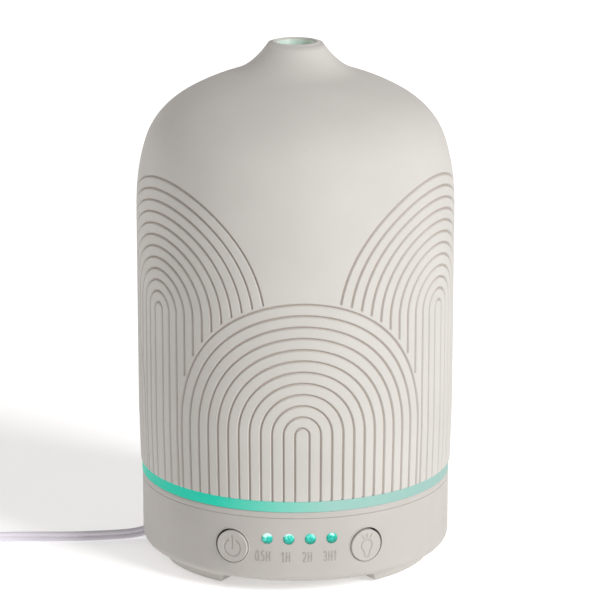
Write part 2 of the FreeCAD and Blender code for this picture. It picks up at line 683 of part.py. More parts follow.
# ---------------------------------------------------------------------- fan
def fan_screw_spots():
    half = FAN_SCREW_PITCH / 2
    return [(FAN_XY[0] + sx * half, FAN_XY[1] + sy * half) for sx in (-1, 1) for sy in (-1, 1)]


def fan_frame():
    frame = box((FAN_XY[0] - FAN_HALF, FAN_XY[0] + FAN_HALF),
                (FAN_XY[1] - FAN_HALF, FAN_XY[1] + FAN_HALF), FAN_Z)
    frame = frame.cut(cylinder(FAN_BORE_R, FAN_Z, FAN_XY))
    plate_z = (FAN_Z[0], FAN_Z[0] + FAN_PLATE)
    frame = frame.fuse(cylinder(FAN_PLATE_R, plate_z, FAN_XY))
    for turn in (90.0, 210.0, 330.0):
        arm = box((6.0, FAN_BORE_R + 0.6), (-FAN_ARM_HALF, FAN_ARM_HALF), plate_z)
        arm.rotate(Vector(), Vector(0, 0, 1), turn)
        arm.translate(Vector(*FAN_XY, 0.0))
        frame = frame.fuse(arm)
    for spot in fan_screw_spots():
        frame = frame.cut(cylinder(SCREW_SHANK_R, FAN_Z, spot))
    return frame.removeSplitter()


def fan_stator():
    core = cylinder(2.0, (FAN_Z[0] + 1.0, FAN_Z[0] + 7.6))
    for turn in (0.0, 90.0, 180.0, 270.0):
        pole = box((1.0, 4.4), (-1.3, 1.3), (FAN_Z[0] + 2.4, FAN_Z[0] + 7.0))
        pole.rotate(Vector(), Vector(0, 0, 1), turn)
        core = core.fuse(pole)
    core = core.cut(cylinder(0.8, (FAN_Z[0] + 1.4, FAN_Z[0] + 8.0)))
    core.translate(Vector(*FAN_XY, 0.0))
    return core


def fan_rotor():
    roof_z = FAN_Z[1] - 1.5
    skirt_z = FAN_Z[0] + 1.5
    hub = cylinder(HUB_R, (skirt_z, roof_z + 1.0)).cut(cylinder(HUB_BORE_R, (skirt_z, roof_z)))
    hub = hub.fuse(cylinder(SHAFT_R, (skirt_z + 0.3, roof_z)))
    for i in range(BLADE_COUNT):
        blade = box((BLADE_ROOT_R, BLADE_TIP_R + 1.0), (-BLADE_CHORD_HALF, BLADE_CHORD_HALF),
                    (-BLADE_HALF_THICK, BLADE_HALF_THICK))
        blade.rotate(Vector(), Vector(1, 0, 0), BLADE_PITCH_ANGLE)
        blade.translate(Vector(0, 0, (FAN_Z[0] + 1.9 + roof_z) / 2 + 0.3))
        blade.rotate(Vector(), Vector(0, 0, 1), i * 360 / BLADE_COUNT)
        swept = ring(BLADE_ROOT_R, BLADE_TIP_R, (FAN_Z[0] + 2.0, roof_z + 0.8))
        hub = hub.fuse(blade.common(swept))
    hub.translate(Vector(*FAN_XY, 0.0))
    return hub


def fan_screws():
    head_r, head_height = FAN_SCREW_HEAD
    return Part.makeCompound([
        screw(spot, head_r, (FAN_Z[1], FAN_Z[1] + head_height), SCREW_SHANK_R,
              (BASE_UNDERSIDE_Z + 0.8, FAN_Z[1])) for spot in fan_screw_spots()])


def fan_duct():
    top_z = TANK_UNDERSIDE_Z
    height = top_z - FAN_Z[1]
    at = Vector(*FAN_XY, FAN_Z[1])
    outer = Part.makeCone(DUCT_R, AIR_TUBE_R, height, at)
    return outer.cut(Part.makeCone(DUCT_R - DUCT_WALL, AIR_TUBE_BORE_R, height, at))


# --------------------------------------------------------- power inlet, lead
def along_x(radius, x_range, y=SOCKET_Y, z=SOCKET_Z):
    return Part.makeCylinder(radius, x_range[1] - x_range[0], Vector(x_range[0], y, z), Vector(1, 0, 0))


def dc_socket():
    front = CHANNEL_X[1] + CHANNEL_WALL
    body = box((front, front + SOCKET_LENGTH), (SOCKET_Y - SOCKET_HALF, SOCKET_Y + SOCKET_HALF),
               (BOTTOM_TOP_Z, SOCKET_Z + SOCKET_HALF))
    return body.cut(along_x(SOCKET_BORE_R, (front, front + 9.5)))


def dc_socket_pin():
    front = CHANNEL_X[1] + CHANNEL_WALL
    return along_x(1.0, (front + 1.5, front + 9.5))


def dc_plug_barrel():
    tip = CHANNEL_X[1] + CHANNEL_WALL + 9.0
    return along_x(PLUG_BARREL_R, (CHANNEL_X[1] - 0.6, tip)).cut(along_x(1.05, (CHANNEL_X[1] + 1.0, tip)))


def dc_plug_grip():
    front = CHANNEL_X[1] - 0.6
    back = front - PLUG_GRIP_LENGTH
    grip = along_x(PLUG_GRIP_R, (back, front))
    sleeve = Part.makeCone(2.1, 3.0, back - CORD_ROUTE[0][0], Vector(CORD_ROUTE[0][0], SOCKET_Y, SOCKET_Z),
                           Vector(1, 0, 0))
    return grip.fuse(sleeve)


def cord_lead():
    return tube(CORD_ROUTE, CORD_R)


def cord_tail():
    return tube(TAIL_ROUTE, CORD_R)


def cord_coil():
    return ring(*COIL_R, COIL_Z, COIL_CENTRE)


def cord_tie():
    """A strap round the coil's turns on the side away from the body."""
    x_range = (COIL_CENTRE[0] - COIL_R[1] - TIE_THICK - 0.4, COIL_CENTRE[0] - COIL_R[0] + TIE_THICK + 0.8)
    y_range = (COIL_CENTRE[1] - TIE_HALF_WIDTH, COIL_CENTRE[1] + TIE_HALF_WIDTH)
    strap = box(x_range, y_range, (0.0, COIL_Z[1] + TIE_THICK))
    inner = box((x_range[0] + TIE_THICK, x_range[1] - TIE_THICK), y_range, COIL_Z)
    return strap.cut(inner)


def adapter_body():
    body = box(ADAPTER_X, ADAPTER_Y, (0.0, ADAPTER_HEIGHT))
    upright = [edge for edge in body.Edges if abs(edge.tangentAt(0).z) > 0.9]
    return body.makeFillet(4.0, upright)


def adapter_relief():
    route_end = TAIL_ROUTE[-1]
    start = Vector(ADAPTER_X[1], route_end[1], route_end[2])
    return Part.makeCone(*RELIEF_R, route_end[0] - ADAPTER_X[1], start,
                         Vector(1, 0, 0))


def adapter_blades():
    thick, length, width = BLADE_SIZE
    middle_x = sum(ADAPTER_X) / 2
    middle_z = ADAPTER_HEIGHT / 2
    return Part.makeCompound([
        box((middle_x + side - thick / 2, middle_x + side + thick / 2),
            (ADAPTER_Y[0] - length, ADAPTER_Y[0]), (middle_z - width / 2, middle_z + width / 2))
        for side in (-BLADE_PITCH / 2, BLADE_PITCH / 2)])


# -------------------------------------------------------------------- output
os.makedirs("parts", exist_ok=True)

save("outer_cover", outer_cover())
save("inner_lid", inner_lid())
save("mist_nozzle", mist_nozzle())
save("lid_seal", lid_seal())
save("water_tank", water_tank())
save("transducer_disc", transducer_disc())
save("transducer_gasket", transducer_gasket())
save("transducer_clamp", transducer_clamp())
save("clamp_screws", clamp_screws())
save("light_ring", light_ring())
save("trim_ring", trim_ring())
save("led_ring_board", led_ring_board())
save("ring_leds", ring_leds())
save("lower_housing", lower_housing())
save("bottom_cover", bottom_cover())
save("foot_pads", foot_pads())
save("bottom_screws", bottom_screws())
for name, side in (("power", -1), ("light", 1)):
    save(f"{name}_button", button(side * BUTTON_ANGLE))
    save(f"{name}_plunger", plunger(side * BUTTON_ANGLE))
    save(f"{name}_switch", push_switch(side * BUTTON_ANGLE))
save("indicator_leds", indicator_leds())
save("indicator_windows", indicator_windows())
save("main_board", main_board())
save("board_screws", board_screws())
save("control_chip", on_board((-5.0, 5.0), (-28.0, -21.5), 1.6))
save("drive_transistor", on_board((-20.0, -10.0), (-23.5, -19.0), 12.0))
save("heat_sink", heat_sink())
save("drive_inductor", drive_inductor())
save("capacitors", capacitors())
save("wire_connectors", wire_connectors())
save("transducer_wires", transducer_wires())
save("fan_wires", fan_wires())
save("ring_wires", ring_wires())
save("socket_wires", socket_wires())
save("fan_frame", fan_frame())
save("fan_stator", fan_stator())
save("fan_rotor", fan_rotor())
save("fan_screws", fan_screws())
save("fan_duct", fan_duct())
save("dc_socket", dc_socket())
save("dc_socket_pin", dc_socket_pin())
save("dc_plug_barrel", dc_plug_barrel())
save("dc_plug_grip", dc_plug_grip())
save("cord_lead", cord_lead())
save("cord_coil", cord_coil())
save("cord_tail", cord_tail())
save("cord_tie", cord_tie())
save("adapter_body", adapter_body())
save("adapter_relief", adapter_relief())
save("adapter_blades", adapter_blades())
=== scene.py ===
import json
import math

import bpy
import numpy as np
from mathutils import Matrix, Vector, noise
from mathutils.geometry import delaunay_2d_cdt

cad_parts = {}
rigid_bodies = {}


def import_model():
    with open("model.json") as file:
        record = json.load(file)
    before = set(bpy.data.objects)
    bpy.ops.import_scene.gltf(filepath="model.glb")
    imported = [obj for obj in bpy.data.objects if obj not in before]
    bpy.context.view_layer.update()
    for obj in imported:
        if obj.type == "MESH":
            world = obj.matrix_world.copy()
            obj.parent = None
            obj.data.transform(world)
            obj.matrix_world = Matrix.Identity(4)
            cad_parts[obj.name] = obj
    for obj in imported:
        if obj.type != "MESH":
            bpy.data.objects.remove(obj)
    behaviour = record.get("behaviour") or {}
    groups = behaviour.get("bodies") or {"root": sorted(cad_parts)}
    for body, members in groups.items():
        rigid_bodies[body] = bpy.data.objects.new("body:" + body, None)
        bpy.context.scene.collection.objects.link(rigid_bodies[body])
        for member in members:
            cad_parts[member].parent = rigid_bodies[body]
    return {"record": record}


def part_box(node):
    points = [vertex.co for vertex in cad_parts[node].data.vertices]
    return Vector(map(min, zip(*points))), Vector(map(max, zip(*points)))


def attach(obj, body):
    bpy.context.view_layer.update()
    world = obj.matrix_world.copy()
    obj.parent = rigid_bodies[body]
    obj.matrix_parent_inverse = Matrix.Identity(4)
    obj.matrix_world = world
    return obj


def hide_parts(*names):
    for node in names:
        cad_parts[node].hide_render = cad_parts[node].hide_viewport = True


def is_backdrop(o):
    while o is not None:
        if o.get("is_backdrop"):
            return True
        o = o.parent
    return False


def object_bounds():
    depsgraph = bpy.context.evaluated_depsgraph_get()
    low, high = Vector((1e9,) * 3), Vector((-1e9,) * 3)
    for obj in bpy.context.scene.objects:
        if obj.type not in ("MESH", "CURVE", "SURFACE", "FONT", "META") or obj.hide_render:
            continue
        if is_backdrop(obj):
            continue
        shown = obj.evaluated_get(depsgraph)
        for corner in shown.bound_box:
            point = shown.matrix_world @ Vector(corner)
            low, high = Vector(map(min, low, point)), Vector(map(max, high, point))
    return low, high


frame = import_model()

# The look of an ultrasonic essential oil diffuser. Shapes are worked out in millimetres, and
# MM turns them into the scene's metres. Angles round the body are measured from the middle of
# the control panel, which faces -Y, and grow towards +X.

MM = 0.001
CAD_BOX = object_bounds()


def top_of(node):
    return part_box(node)[1].z / MM


def bottom_of(node):
    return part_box(node)[0].z / MM


def around(radius, angle, z):
    """A point in metres at a distance, an angle in radians and a height."""
    return Vector((radius * math.sin(angle), -radius * math.cos(angle), z)) * MM


# ---------------------------------------------------------------- camera
CAMERA_AZIMUTH = math.radians(-1.5)
CAMERA_ELEVATION = math.radians(14.567)
CAMERA_DISTANCE = 1021.5
CAMERA_TARGET_Z = 88.0
CAMERA_LENS = 188.97

camera_data = bpy.data.cameras.new("camera")
camera_data.lens = CAMERA_LENS
camera_data.sensor_width = 36.0
camera_data.shift_x = 0.00763
camera_data.shift_y = -0.02155
camera_data.clip_end = 20.0
camera = bpy.data.objects.new("camera", camera_data)
bpy.context.scene.collection.objects.link(camera)
level = CAMERA_DISTANCE * math.cos(CAMERA_ELEVATION)
rise = CAMERA_DISTANCE * math.sin(CAMERA_ELEVATION)
camera.location = around(level, CAMERA_AZIMUTH, CAMERA_TARGET_Z + rise)
aim = Vector((0.0, 0.0, CAMERA_TARGET_Z * MM)) - camera.location
camera.rotation_euler = aim.to_track_quat("-Z", "Y").to_euler()
bpy.context.scene.camera = camera


# ---------------------------------------------------------------- indicator windows' places
WINDOW_ANGLES = (-11.7, -3.9, 3.9, 11.7)
WINDOW_Z = 19.1
WINDOW_R = 1.75


# ---------------------------------------------------------------- materials
def linear(srgb):
    """A colour on a screen's 0 to 255 scale as the shader's linear values."""
    def channel(value):
        value /= 255
        return value / 12.92 if value <= 0.04045 else ((value + 0.055) / 1.055) ** 2.4
    return (*(channel(value) for value in srgb), 1.0)


class Finish:
    """A node material that starts as a plain shader and gains detail a call at a time."""

    def __init__(self, name, roughness=0.5):
        self.material = bpy.data.materials.new(name)
        self.material.use_nodes = True
        self.tree = self.material.node_tree
        self.shader = self.tree.nodes["Principled BSDF"]
        self.shader.inputs["Roughness"].default_value = roughness
        self.place = self.tree.nodes.new("ShaderNodeTexCoord").outputs["Object"]
        self.normal = None

    def link(self, out, into):
        self.tree.links.new(out, into)

    def noise(self, scale, detail=3.0, roughness=0.5, stretch=None):
        texture = self.tree.nodes.new("ShaderNodeTexNoise")
        texture.inputs["Scale"].default_value = scale
        texture.inputs["Detail"].default_value = detail
        texture.inputs["Roughness"].default_value = roughness
        place = self.place
        if stretch:
            mapping = self.tree.nodes.new("ShaderNodeMapping")
            mapping.inputs["Scale"].default_value = stretch
            self.link(place, mapping.inputs["Vector"])
            place = mapping.outputs["Vector"]
        self.link(place, texture.inputs["Vector"])
        return texture.outputs["Fac"]

    def remap(self, value, low, high, from_low=0.3, from_high=0.7):
        node = self.tree.nodes.new("ShaderNodeMapRange")
        node.inputs["From Min"].default_value = from_low
        node.inputs["From Max"].default_value = from_high
        node.inputs["To Min"].default_value = low
        node.inputs["To Max"].default_value = high
        self.link(value, node.inputs["Value"])
        return node.outputs["Result"]

    def across(self, axis, start, end):
        """0 to 1 between two places along an axis, in metres."""
        apart = self.tree.nodes.new("ShaderNodeSeparateXYZ")
        self.link(self.place, apart.inputs["Vector"])
        return self.remap(apart.outputs[axis], 0.0, 1.0, start, end)

    def ramp(self, factor, stops):
        """A colour that runs through several, each at its share of the way."""
        node = self.tree.nodes.new("ShaderNodeValToRGB")
        elements = node.color_ramp.elements
        while len(elements) < len(stops):
            elements.new(0.5)
        for element, (share, colour) in zip(elements, stops):
            element.position = share
            element.color = colour
        self.link(factor, node.inputs["Fac"])
        return node.outputs["Color"]

    def attribute(self, name):
        node = self.tree.nodes.new("ShaderNodeAttribute")
        node.attribute_name = name
        return node.outputs["Fac"]

    def mix(self, factor, first, second):
        """Mixes two colours, each a colour or a node's output."""
        node = self.tree.nodes.new("ShaderNodeMix")
        node.data_type = "RGBA"
        self.link(factor, node.inputs["Factor"])
        for colour, socket in ((first, node.inputs["A"]), (second, node.inputs["B"])):
            if isinstance(colour, tuple):
                socket.default_value = colour
            else:
                self.link(colour, socket)
        return node.outputs["Result"]

    def colour(self, output):
        self.link(output, self.shader.inputs["Base Color"])

    def mottle(self, first, second, scale, low=0.3, high=0.7):
        """Two close colours in soft clouds."""
        clouds = self.remap(self.noise(scale), 0.0, 1.0, low, high)
        return self.mix(clouds, linear(first), linear(second))

    def rough(self, scale, low, high):
        self.link(self.remap(self.noise(scale, 2.0), low, high), self.shader.inputs["Roughness"])

    def bump(self, height, depth, strength=1.0):
        """Adds relief whose full height is a depth in metres."""
        node = self.tree.nodes.new("ShaderNodeBump")
        node.inputs["Strength"].default_value = strength
        node.inputs["Distance"].default_value = depth
        self.link(height, node.inputs["Height"])
        if self.normal:
            self.link(self.normal, node.inputs["Normal"])
        self.normal = node.outputs["Normal"]
        self.link(self.normal, self.shader.inputs["Normal"])

    def glow(self, colour, strength):
        if isinstance(colour, tuple):
            self.shader.inputs["Emission Color"].default_value = colour
        else:
            self.link(colour, self.shader.inputs["Emission Color"])
        self.shader.inputs["Emission Strength"].default_value = strength


def ceramic_finish():
    """Unglazed bone ceramic: a fine sandy skin with faint clouding, and painted shade in its grooves."""
    finish = Finish("ceramic", 0.78)
    clouds = finish.mottle((198, 195, 190), (193, 190, 185), 38.0)
    specks = finish.remap(finish.noise(1900.0, 2.0), 0.0, 0.22, 0.62, 0.75)
    skin = finish.mix(specks, clouds, linear((170, 164, 155)))
    # Painted shade: the deeper parts of the engraved grooves are darkened towards a warm brown.
    groove_painted_shade = finish.remap(finish.attribute("engraving"), 0.0, 0.55, 0.38, 0.6)
    finish.colour(finish.mix(groove_painted_shade, skin, linear((140, 116, 102))))
    finish.rough(420.0, 0.7, 0.86)
    finish.bump(finish.noise(2300.0, 3.0, 0.6), 0.00006, 0.55)
    finish.bump(finish.noise(260.0, 2.0), 0.00009, 0.5)
    finish.shader.inputs["Specular IOR Level"].default_value = 0.32
    return finish.material


def moulded_finish(name, light, dark, grain=1500.0, low=0.5, high=0.62, depth=0.00002, specular=0.4):
    """Moulded plastic with a fine spark-eroded grain."""
    finish = Finish(name)
    finish.colour(finish.mottle(light, dark, 55.0))
    finish.rough(grain / 3, low, high)
    finish.bump(finish.noise(grain, 2.0), depth, 0.6)
    finish.shader.inputs["Specular IOR Level"].default_value = specular
    return finish.material


def metal_finish(name, light, dark, stretch=(1.0, 1.0, 14.0), low=0.25, high=0.42):
    finish = Finish(name)
    finish.colour(finish.mottle(light, dark, 240.0))
    finish.rough(900.0, low, high)
    finish.bump(finish.noise(500.0, 3.0, stretch=stretch), 0.00001, 0.5)
    finish.shader.inputs["Metallic"].default_value = 1.0
    return finish.material


def ring_finish():
    """Translucent plastic lit from inside. Its glow is strongest towards -X and its colour paler towards +X,
    painted light standing for the key light washing over the +X side.
    """
    finish = Finish("light_diffuser", 0.42)
    # Painted light: from -X to +X the colour turns paler and the glow weaker, as if the key light from +X
    # fell on it.
    side = finish.across("X", -0.05, 0.05)
    skin = finish.ramp(side, [(0.0, (0.01, 0.3, 0.21, 1.0)), (0.24, (0.01, 0.34, 0.25, 1.0)),
                              (0.45, (0.15, 0.41, 0.34, 1.0)), (0.6, (0.26, 0.41, 0.37, 1.0)),
                              (1.0, (0.24, 0.37, 0.34, 1.0))])
    ripple = finish.mix(finish.remap(finish.noise(700.0), 0.0, 0.015), skin, linear((255, 255, 255)))
    finish.colour(ripple)
    finish.shader.inputs["Specular IOR Level"].default_value = 0.2
    finish.glow(finish.ramp(side, [(0.0, (0.0, 0.23, 0.16, 1.0)), (0.24, (0.0, 0.26, 0.18, 1.0)),
                                   (0.45, (0.03, 0.2, 0.15, 1.0)), (0.6, (0.03, 0.13, 0.11, 1.0)),
                                   (1.0, (0.02, 0.06, 0.05, 1.0))]), 1.0)
    finish.bump(finish.noise(1200.0, 2.0), 0.00002, 0.4)
    finish.rough(500.0, 0.36, 0.5)
    return finish.material


def lens_finish():
    """Lit lenses with a painted highlight, brightest at the top and in painted glints, the light fading from
    the first to the last.
    """
    finish = Finish("window_lens", 0.3)
    # Painted highlight: the colour runs to near white towards the top and in noise patches, and glows with
    # it.
    height = finish.across("Z", (WINDOW_Z - WINDOW_R) * MM, (WINDOW_Z + WINDOW_R * 0.9) * MM)
    painted_glints = finish.remap(finish.noise(1100.0, 1.0), -0.2, 0.2, 0.35, 0.65)
    order = finish.across("X", -0.013, 0.013)
    painted_highlight = finish.tree.nodes.new("ShaderNodeMath")
    painted_highlight.operation = "ADD"
    finish.link(height, painted_highlight.inputs[0])
    finish.link(painted_glints, painted_highlight.inputs[1])
    dimmed = finish.tree.nodes.new("ShaderNodeMath")
    dimmed.operation = "MULTIPLY_ADD"
    finish.link(order, dimmed.inputs[0])
    dimmed.inputs[1].default_value = -0.35
    finish.link(painted_highlight.outputs["Value"], dimmed.inputs[2])
    stops = [(0.0, linear((0, 128, 112))), (0.36, linear((6, 162, 144))), (0.62, linear((64, 198, 180))),
             (0.85, linear((200, 240, 232)))]
    colour = finish.ramp(dimmed.outputs["Value"], stops)
    finish.colour(colour)
    finish.glow(colour, 0.35)
    finish.rough(900.0, 0.2, 0.34)
    return finish.material


def label_shade_finish():
    """The labels' strokes, painted a shade darker than the housing: painted shade standing for the shadow in
    engraved lettering.
    """
    finish = Finish("label_painted_shade", 0.6)
    # Painted shade: the strokes are darkened to read as the shadowed lines of engraving.
    finish.colour(finish.mottle((165, 161, 152), (157, 153, 144), 900.0))
    finish.bump(finish.noise(1800.0, 2.0), 0.00002, 0.5)
    return finish.material


def board_finish():
    """Green solder mask with the fine relief of its copper tracks."""
    finish = Finish("circuit_board", 0.4)
    tracks = finish.remap(finish.noise(420.0, 0.0, stretch=(1.0, 3.0, 1.0)), 0.0, 1.0, 0.48, 0.52)
    finish.colour(finish.mix(tracks, linear((20, 92, 48)), linear((30, 116, 62))))
    finish.bump(tracks, 0.00004, 0.6)
    finish.rough(700.0, 0.3, 0.46)
    return finish.material


def woven_finish():
    """A hook-and-loop strap's close weave."""
    finish = Finish("tie_fabric", 0.9)
    waves = []
    for direction in ("X", "Y"):
        wave = finish.tree.nodes.new("ShaderNodeTexWave")
        wave.bands_direction = direction
        wave.inputs["Scale"].default_value = 650.0
        finish.link(finish.place, wave.inputs["Vector"])
        waves.append(wave.outputs["Fac"])
    weave = finish.mix(waves[0], linear((228, 228, 226)), linear((203, 203, 200)))
    finish.colour(finish.mix(waves[1], weave, linear((214, 214, 212))))
    finish.bump(waves[0], 0.00012, 0.8)
    finish.bump(waves[1], 0.00012, 0.8)
    finish.shader.inputs["Sheen Weight"].default_value = 0.3
    return finish.material


def lid_finish():
    """Milky translucent polypropylene, faintly tinted by the light ring under it: a greenish colour and a
    faint painted glow stand for that light.
    """
    finish = Finish("lid_plastic", 0.45)
    finish.colour(finish.mottle((208, 219, 208), (201, 213, 202), 40.0))
    # Painted light: the lid is no lamp; this glow stands for the light ring's light shining up into it.
    finish.glow(linear((120, 200, 160)), 0.03)
    finish.bump(finish.noise(900.0, 2.0), 0.00002, 0.5)
    finish.rough(300.0, 0.38, 0.52)
    finish.shader.inputs["Subsurface Weight"].default_value = 0.25
    finish.shader.inputs["Subsurface Scale"].default_value = 0.002
    return finish.material


FINISHES = {
    "ceramic_cover": ceramic_finish(),
    "lid_plastic": lid_finish(),
    "silicone": moulded_finish("silicone", (226, 226, 222), (216, 216, 212), 900.0, 0.6, 0.75),
    "tank_plastic": moulded_finish("tank_plastic", (236, 236, 232), (228, 228, 223), 1100.0, 0.34, 0.46),
    "piezo_metal": metal_finish("piezo_metal", (205, 205, 203), (188, 188, 186)),
    "steel": metal_finish("steel", (190, 190, 192), (168, 168, 172)),
    "light_diffuser": ring_finish(),
    "trim_plastic": moulded_finish("trim_plastic", (184, 180, 175), (179, 175, 170)),
    "housing_plastic": moulded_finish("housing_plastic", (184, 180, 175), (179, 175, 170)),
    "rubber_pad": moulded_finish("rubber_pad", (205, 203, 199), (194, 192, 188), 700.0, 0.75, 0.9),
    "circuit_board": board_finish(),
    "led_lens": moulded_finish("led_lens", (240, 240, 228), (228, 228, 214), 600.0, 0.15, 0.25),
    "window_lens": lens_finish(),
    "button_plastic": moulded_finish("button_plastic", (184, 180, 175), (179, 175, 170)),
    "black_plastic": moulded_finish("black_plastic", (40, 40, 42), (30, 30, 32), 1300.0, 0.35, 0.5),
    "aluminium": metal_finish("aluminium", (206, 207, 209), (190, 191, 194)),
    "copper_winding": metal_finish("copper_winding", (196, 122, 78), (150, 86, 50), (1.0, 1.0, 30.0)),
    "connector_plastic": moulded_finish("connector_plastic", (238, 236, 226), (228, 225, 214)),
    "brass_contact": metal_finish("brass_contact", (214, 186, 120), (196, 166, 100)),
    "wire_insulation": moulded_finish("wire_insulation", (176, 44, 36), (150, 34, 28), 900.0, 0.35, 0.5),
    "cord_plastic": moulded_finish("cord_plastic", (226, 222, 230), (218, 214, 222), 900.0, 0.34, 0.46),
    "adapter_plastic": moulded_finish("adapter_plastic", (232, 231, 230), (224, 223, 221), 1300.0, 0.4, 0.52),
    "tie_fabric": woven_finish(),
}

for part in frame["record"]["subparts"]:
    node = bpy.data.objects[part["node"]]
    node.data.materials.clear()
    node.data.materials.append(FINISHES[part["material_slot"]])


# ---------------------------------------------------------------- mesh helpers
def piece(name, points, faces, slot, body, stands_for=(), smooth=True):
    """A mesh piece from points in metres, finished, riding on a body."""
    mesh = bpy.data.meshes.new(name)
    mesh.from_pydata([tuple(point) for point in points], [], [tuple(face) for face in faces])
    mesh.update()
    for polygon in mesh.polygons:
        polygon.use_smooth = smooth
    made = bpy.data.objects.new(name, mesh)
    bpy.context.scene.collection.objects.link(made)
    mesh.materials.append(FINISHES[slot])
    if stands_for:
        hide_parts(*stands_for)
    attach(made, body)
    return made


def sharpen(made, degrees=35.0):
    """Keeps corners crisp and rounds crisp."""
    made.data.set_sharp_from_angle(angle=math.radians(degrees))
    return made


def loft(rows, cap_first=False, cap_last=False, joined=False):
    """Faces between closed rows of equally many points; joined rows meet end to end."""
    count = len(rows[0])
    faces = []
    for row in range(len(rows) if joined else len(rows) - 1):
        after = (row + 1) % len(rows)
        for i in range(count):
            j = (i + 1) % count
            faces.append((row * count + i, row * count + j, after * count + j, after * count + i))
    if cap_first:
        faces.append(tuple(reversed(range(count))))
    if cap_last:
        faces.append(tuple(range((len(rows) - 1) * count, len(rows) * count)))
    return [point for row in rows for point in row], faces


def cubic(poles, count):
    """Points along a clamped uniform cubic spline, as part of an outline in r and z."""
    poles = np.array(poles, float)
    spans = len(poles) - 3
    knots = np.concatenate([[0] * 3, np.arange(spans + 1), [spans] * 3]).astype(float)
    points = []
    for t in np.linspace(0.0, spans, count):
        k = min(int(t), spans - 1) + 3
        work = [poles[j + k - 3].copy() for j in range(4)]
        for degree in range(1, 4):
            for j in range(3, degree - 1, -1):
                left = knots[j + k - 3]
                share = (t - left) / (knots[j + 1 + k - degree] - left)
                work[j] = (1 - share) * work[j - 1] + share * work[j]
        points.append(work[3])
    return np.array(points)


def turned_ring(name, outline, slot, body, node, steps=192):
    """A ring about Z from a closed outline of (radius, height) points."""
    rows = [[around(radius, 2 * math.pi * i / steps, z) for i in range(steps)] for radius, z in outline]
    points, faces = loft(rows, joined=True)
    return sharpen(piece(name, points, faces, slot, body, (node,)), 40)


# ---------------------------------------------------------------- power lead
CORD_WIDTH = 3.4
CORD_THICK = 1.75
LEAD_ROUTE = [(-27.0, 4.0, 10.6), (-36.0, 4.4, 10.2), (-50.0, 8.3, 1.75), (-62.0, 5.6, 1.75),
              (-76.0, 4.6, 1.75), (-91.0, 5.2, 1.75), (-106.0, 4.2, 1.9), (-120.0, 4.0, 2.2)]
TAIL_ROUTE = [(-134.0, 3.9, 12.5), (-142.0, 3.4, 11.2), (-150.0, 2.0, 9.0), (-158.0, 2.0, 9.0)]
COIL_CENTRE = (-128.0, -19.0)
COIL_OUTER_R = 23.0
COIL_PITCH = 3.45
COIL_TURNS = 11
COIL_LAYERS = 4
COIL_FIRST_Z = 2.2
POINTS_PER_TURN = 16


def coil_point(turn):
    """The coil winds in and out again, a layer at a time, and steps up at each turning back."""
    per_layer = COIL_TURNS / COIL_LAYERS
    layer = min(int(turn / per_layer), COIL_LAYERS - 1)
    within = turn - layer * per_layer
    inwards = within if layer % 2 == 0 else per_layer - within
    radius = COIL_OUTER_R - COIL_PITCH * inwards
    climb = 0.0 if layer == 0 else min(within / 0.4, 1.0) - 1.0
    angle = math.pi / 2 + 2 * math.pi * turn
    return (COIL_CENTRE[0] + radius * math.cos(angle), COIL_CENTRE[1] + radius * math.sin(angle),
            COIL_FIRST_Z + COIL_PITCH * (layer + climb))


def cord_line():
    """The smooth centreline that the route's points pull, read from its NURBS curve."""
    turns = [coil_point(i / POINTS_PER_TURN) for i in range(COIL_TURNS * POINTS_PER_TURN + 1)]
    route = LEAD_ROUTE + turns + TAIL_ROUTE
    curve = bpy.data.curves.new("cord_route", "CURVE")
    curve.dimensions = "3D"
    spline = curve.splines.new("NURBS")
    spline.points.add(len(route) - 1)
    for point, place in zip(spline.points, route):
        point.co = (*(value * MM for value in place), 1.0)
    spline.order_u = 3
    spline.use_endpoint_u = True
    spline.resolution_u = 6
    holder = bpy.data.objects.new("cord_route", curve)
    line = bpy.data.meshes.new_from_object(holder)
    points = [vertex.co.copy() for vertex in line.vertices]
    bpy.data.objects.remove(holder)
    bpy.data.meshes.remove(line)
    return points


def twin_section():
    """Two round cores, one over the other, that meet at a waist."""
    core_r = CORD_THICK / 2
    offset = CORD_WIDTH / 2 - core_r
    waist = math.acos(offset / core_r)
    span = 2 * math.pi - 2 * waist
    steps = 10
    section = []
    for middle, start in ((offset, waist - math.pi / 2), (-offset, waist + math.pi / 2)):
        for i in range(steps):
            angle = start + span * i / steps
            section.append((core_r * math.cos(angle), middle + core_r * math.sin(angle)))
    return section


def sweep(line, section):
    """A tube of the given section on a line, its tall axis kept upright."""
    rows = []
    for i, point in enumerate(line):
        ahead = (line[min(i + 1, len(line) - 1)] - line[max(i - 1, 0)]).normalized()
        side = ahead.cross(Vector((0, 0, 1))).normalized()
        up = side.cross(ahead).normalized()
        rows.append([point + (side * u + up * v) * MM for u, v in section])
    return loft(rows, cap_first=True, cap_last=True)


cord_points = cord_line()
cord = piece("power_lead", *sweep(cord_points, twin_section()), "cord_plastic", "base",
             ("cord_lead", "cord_coil", "cord_tail"))
cord_length = sum((b - a).length for a, b in zip(cord_points, cord_points[1:]))
print("cord length", round(cord_length, 4))


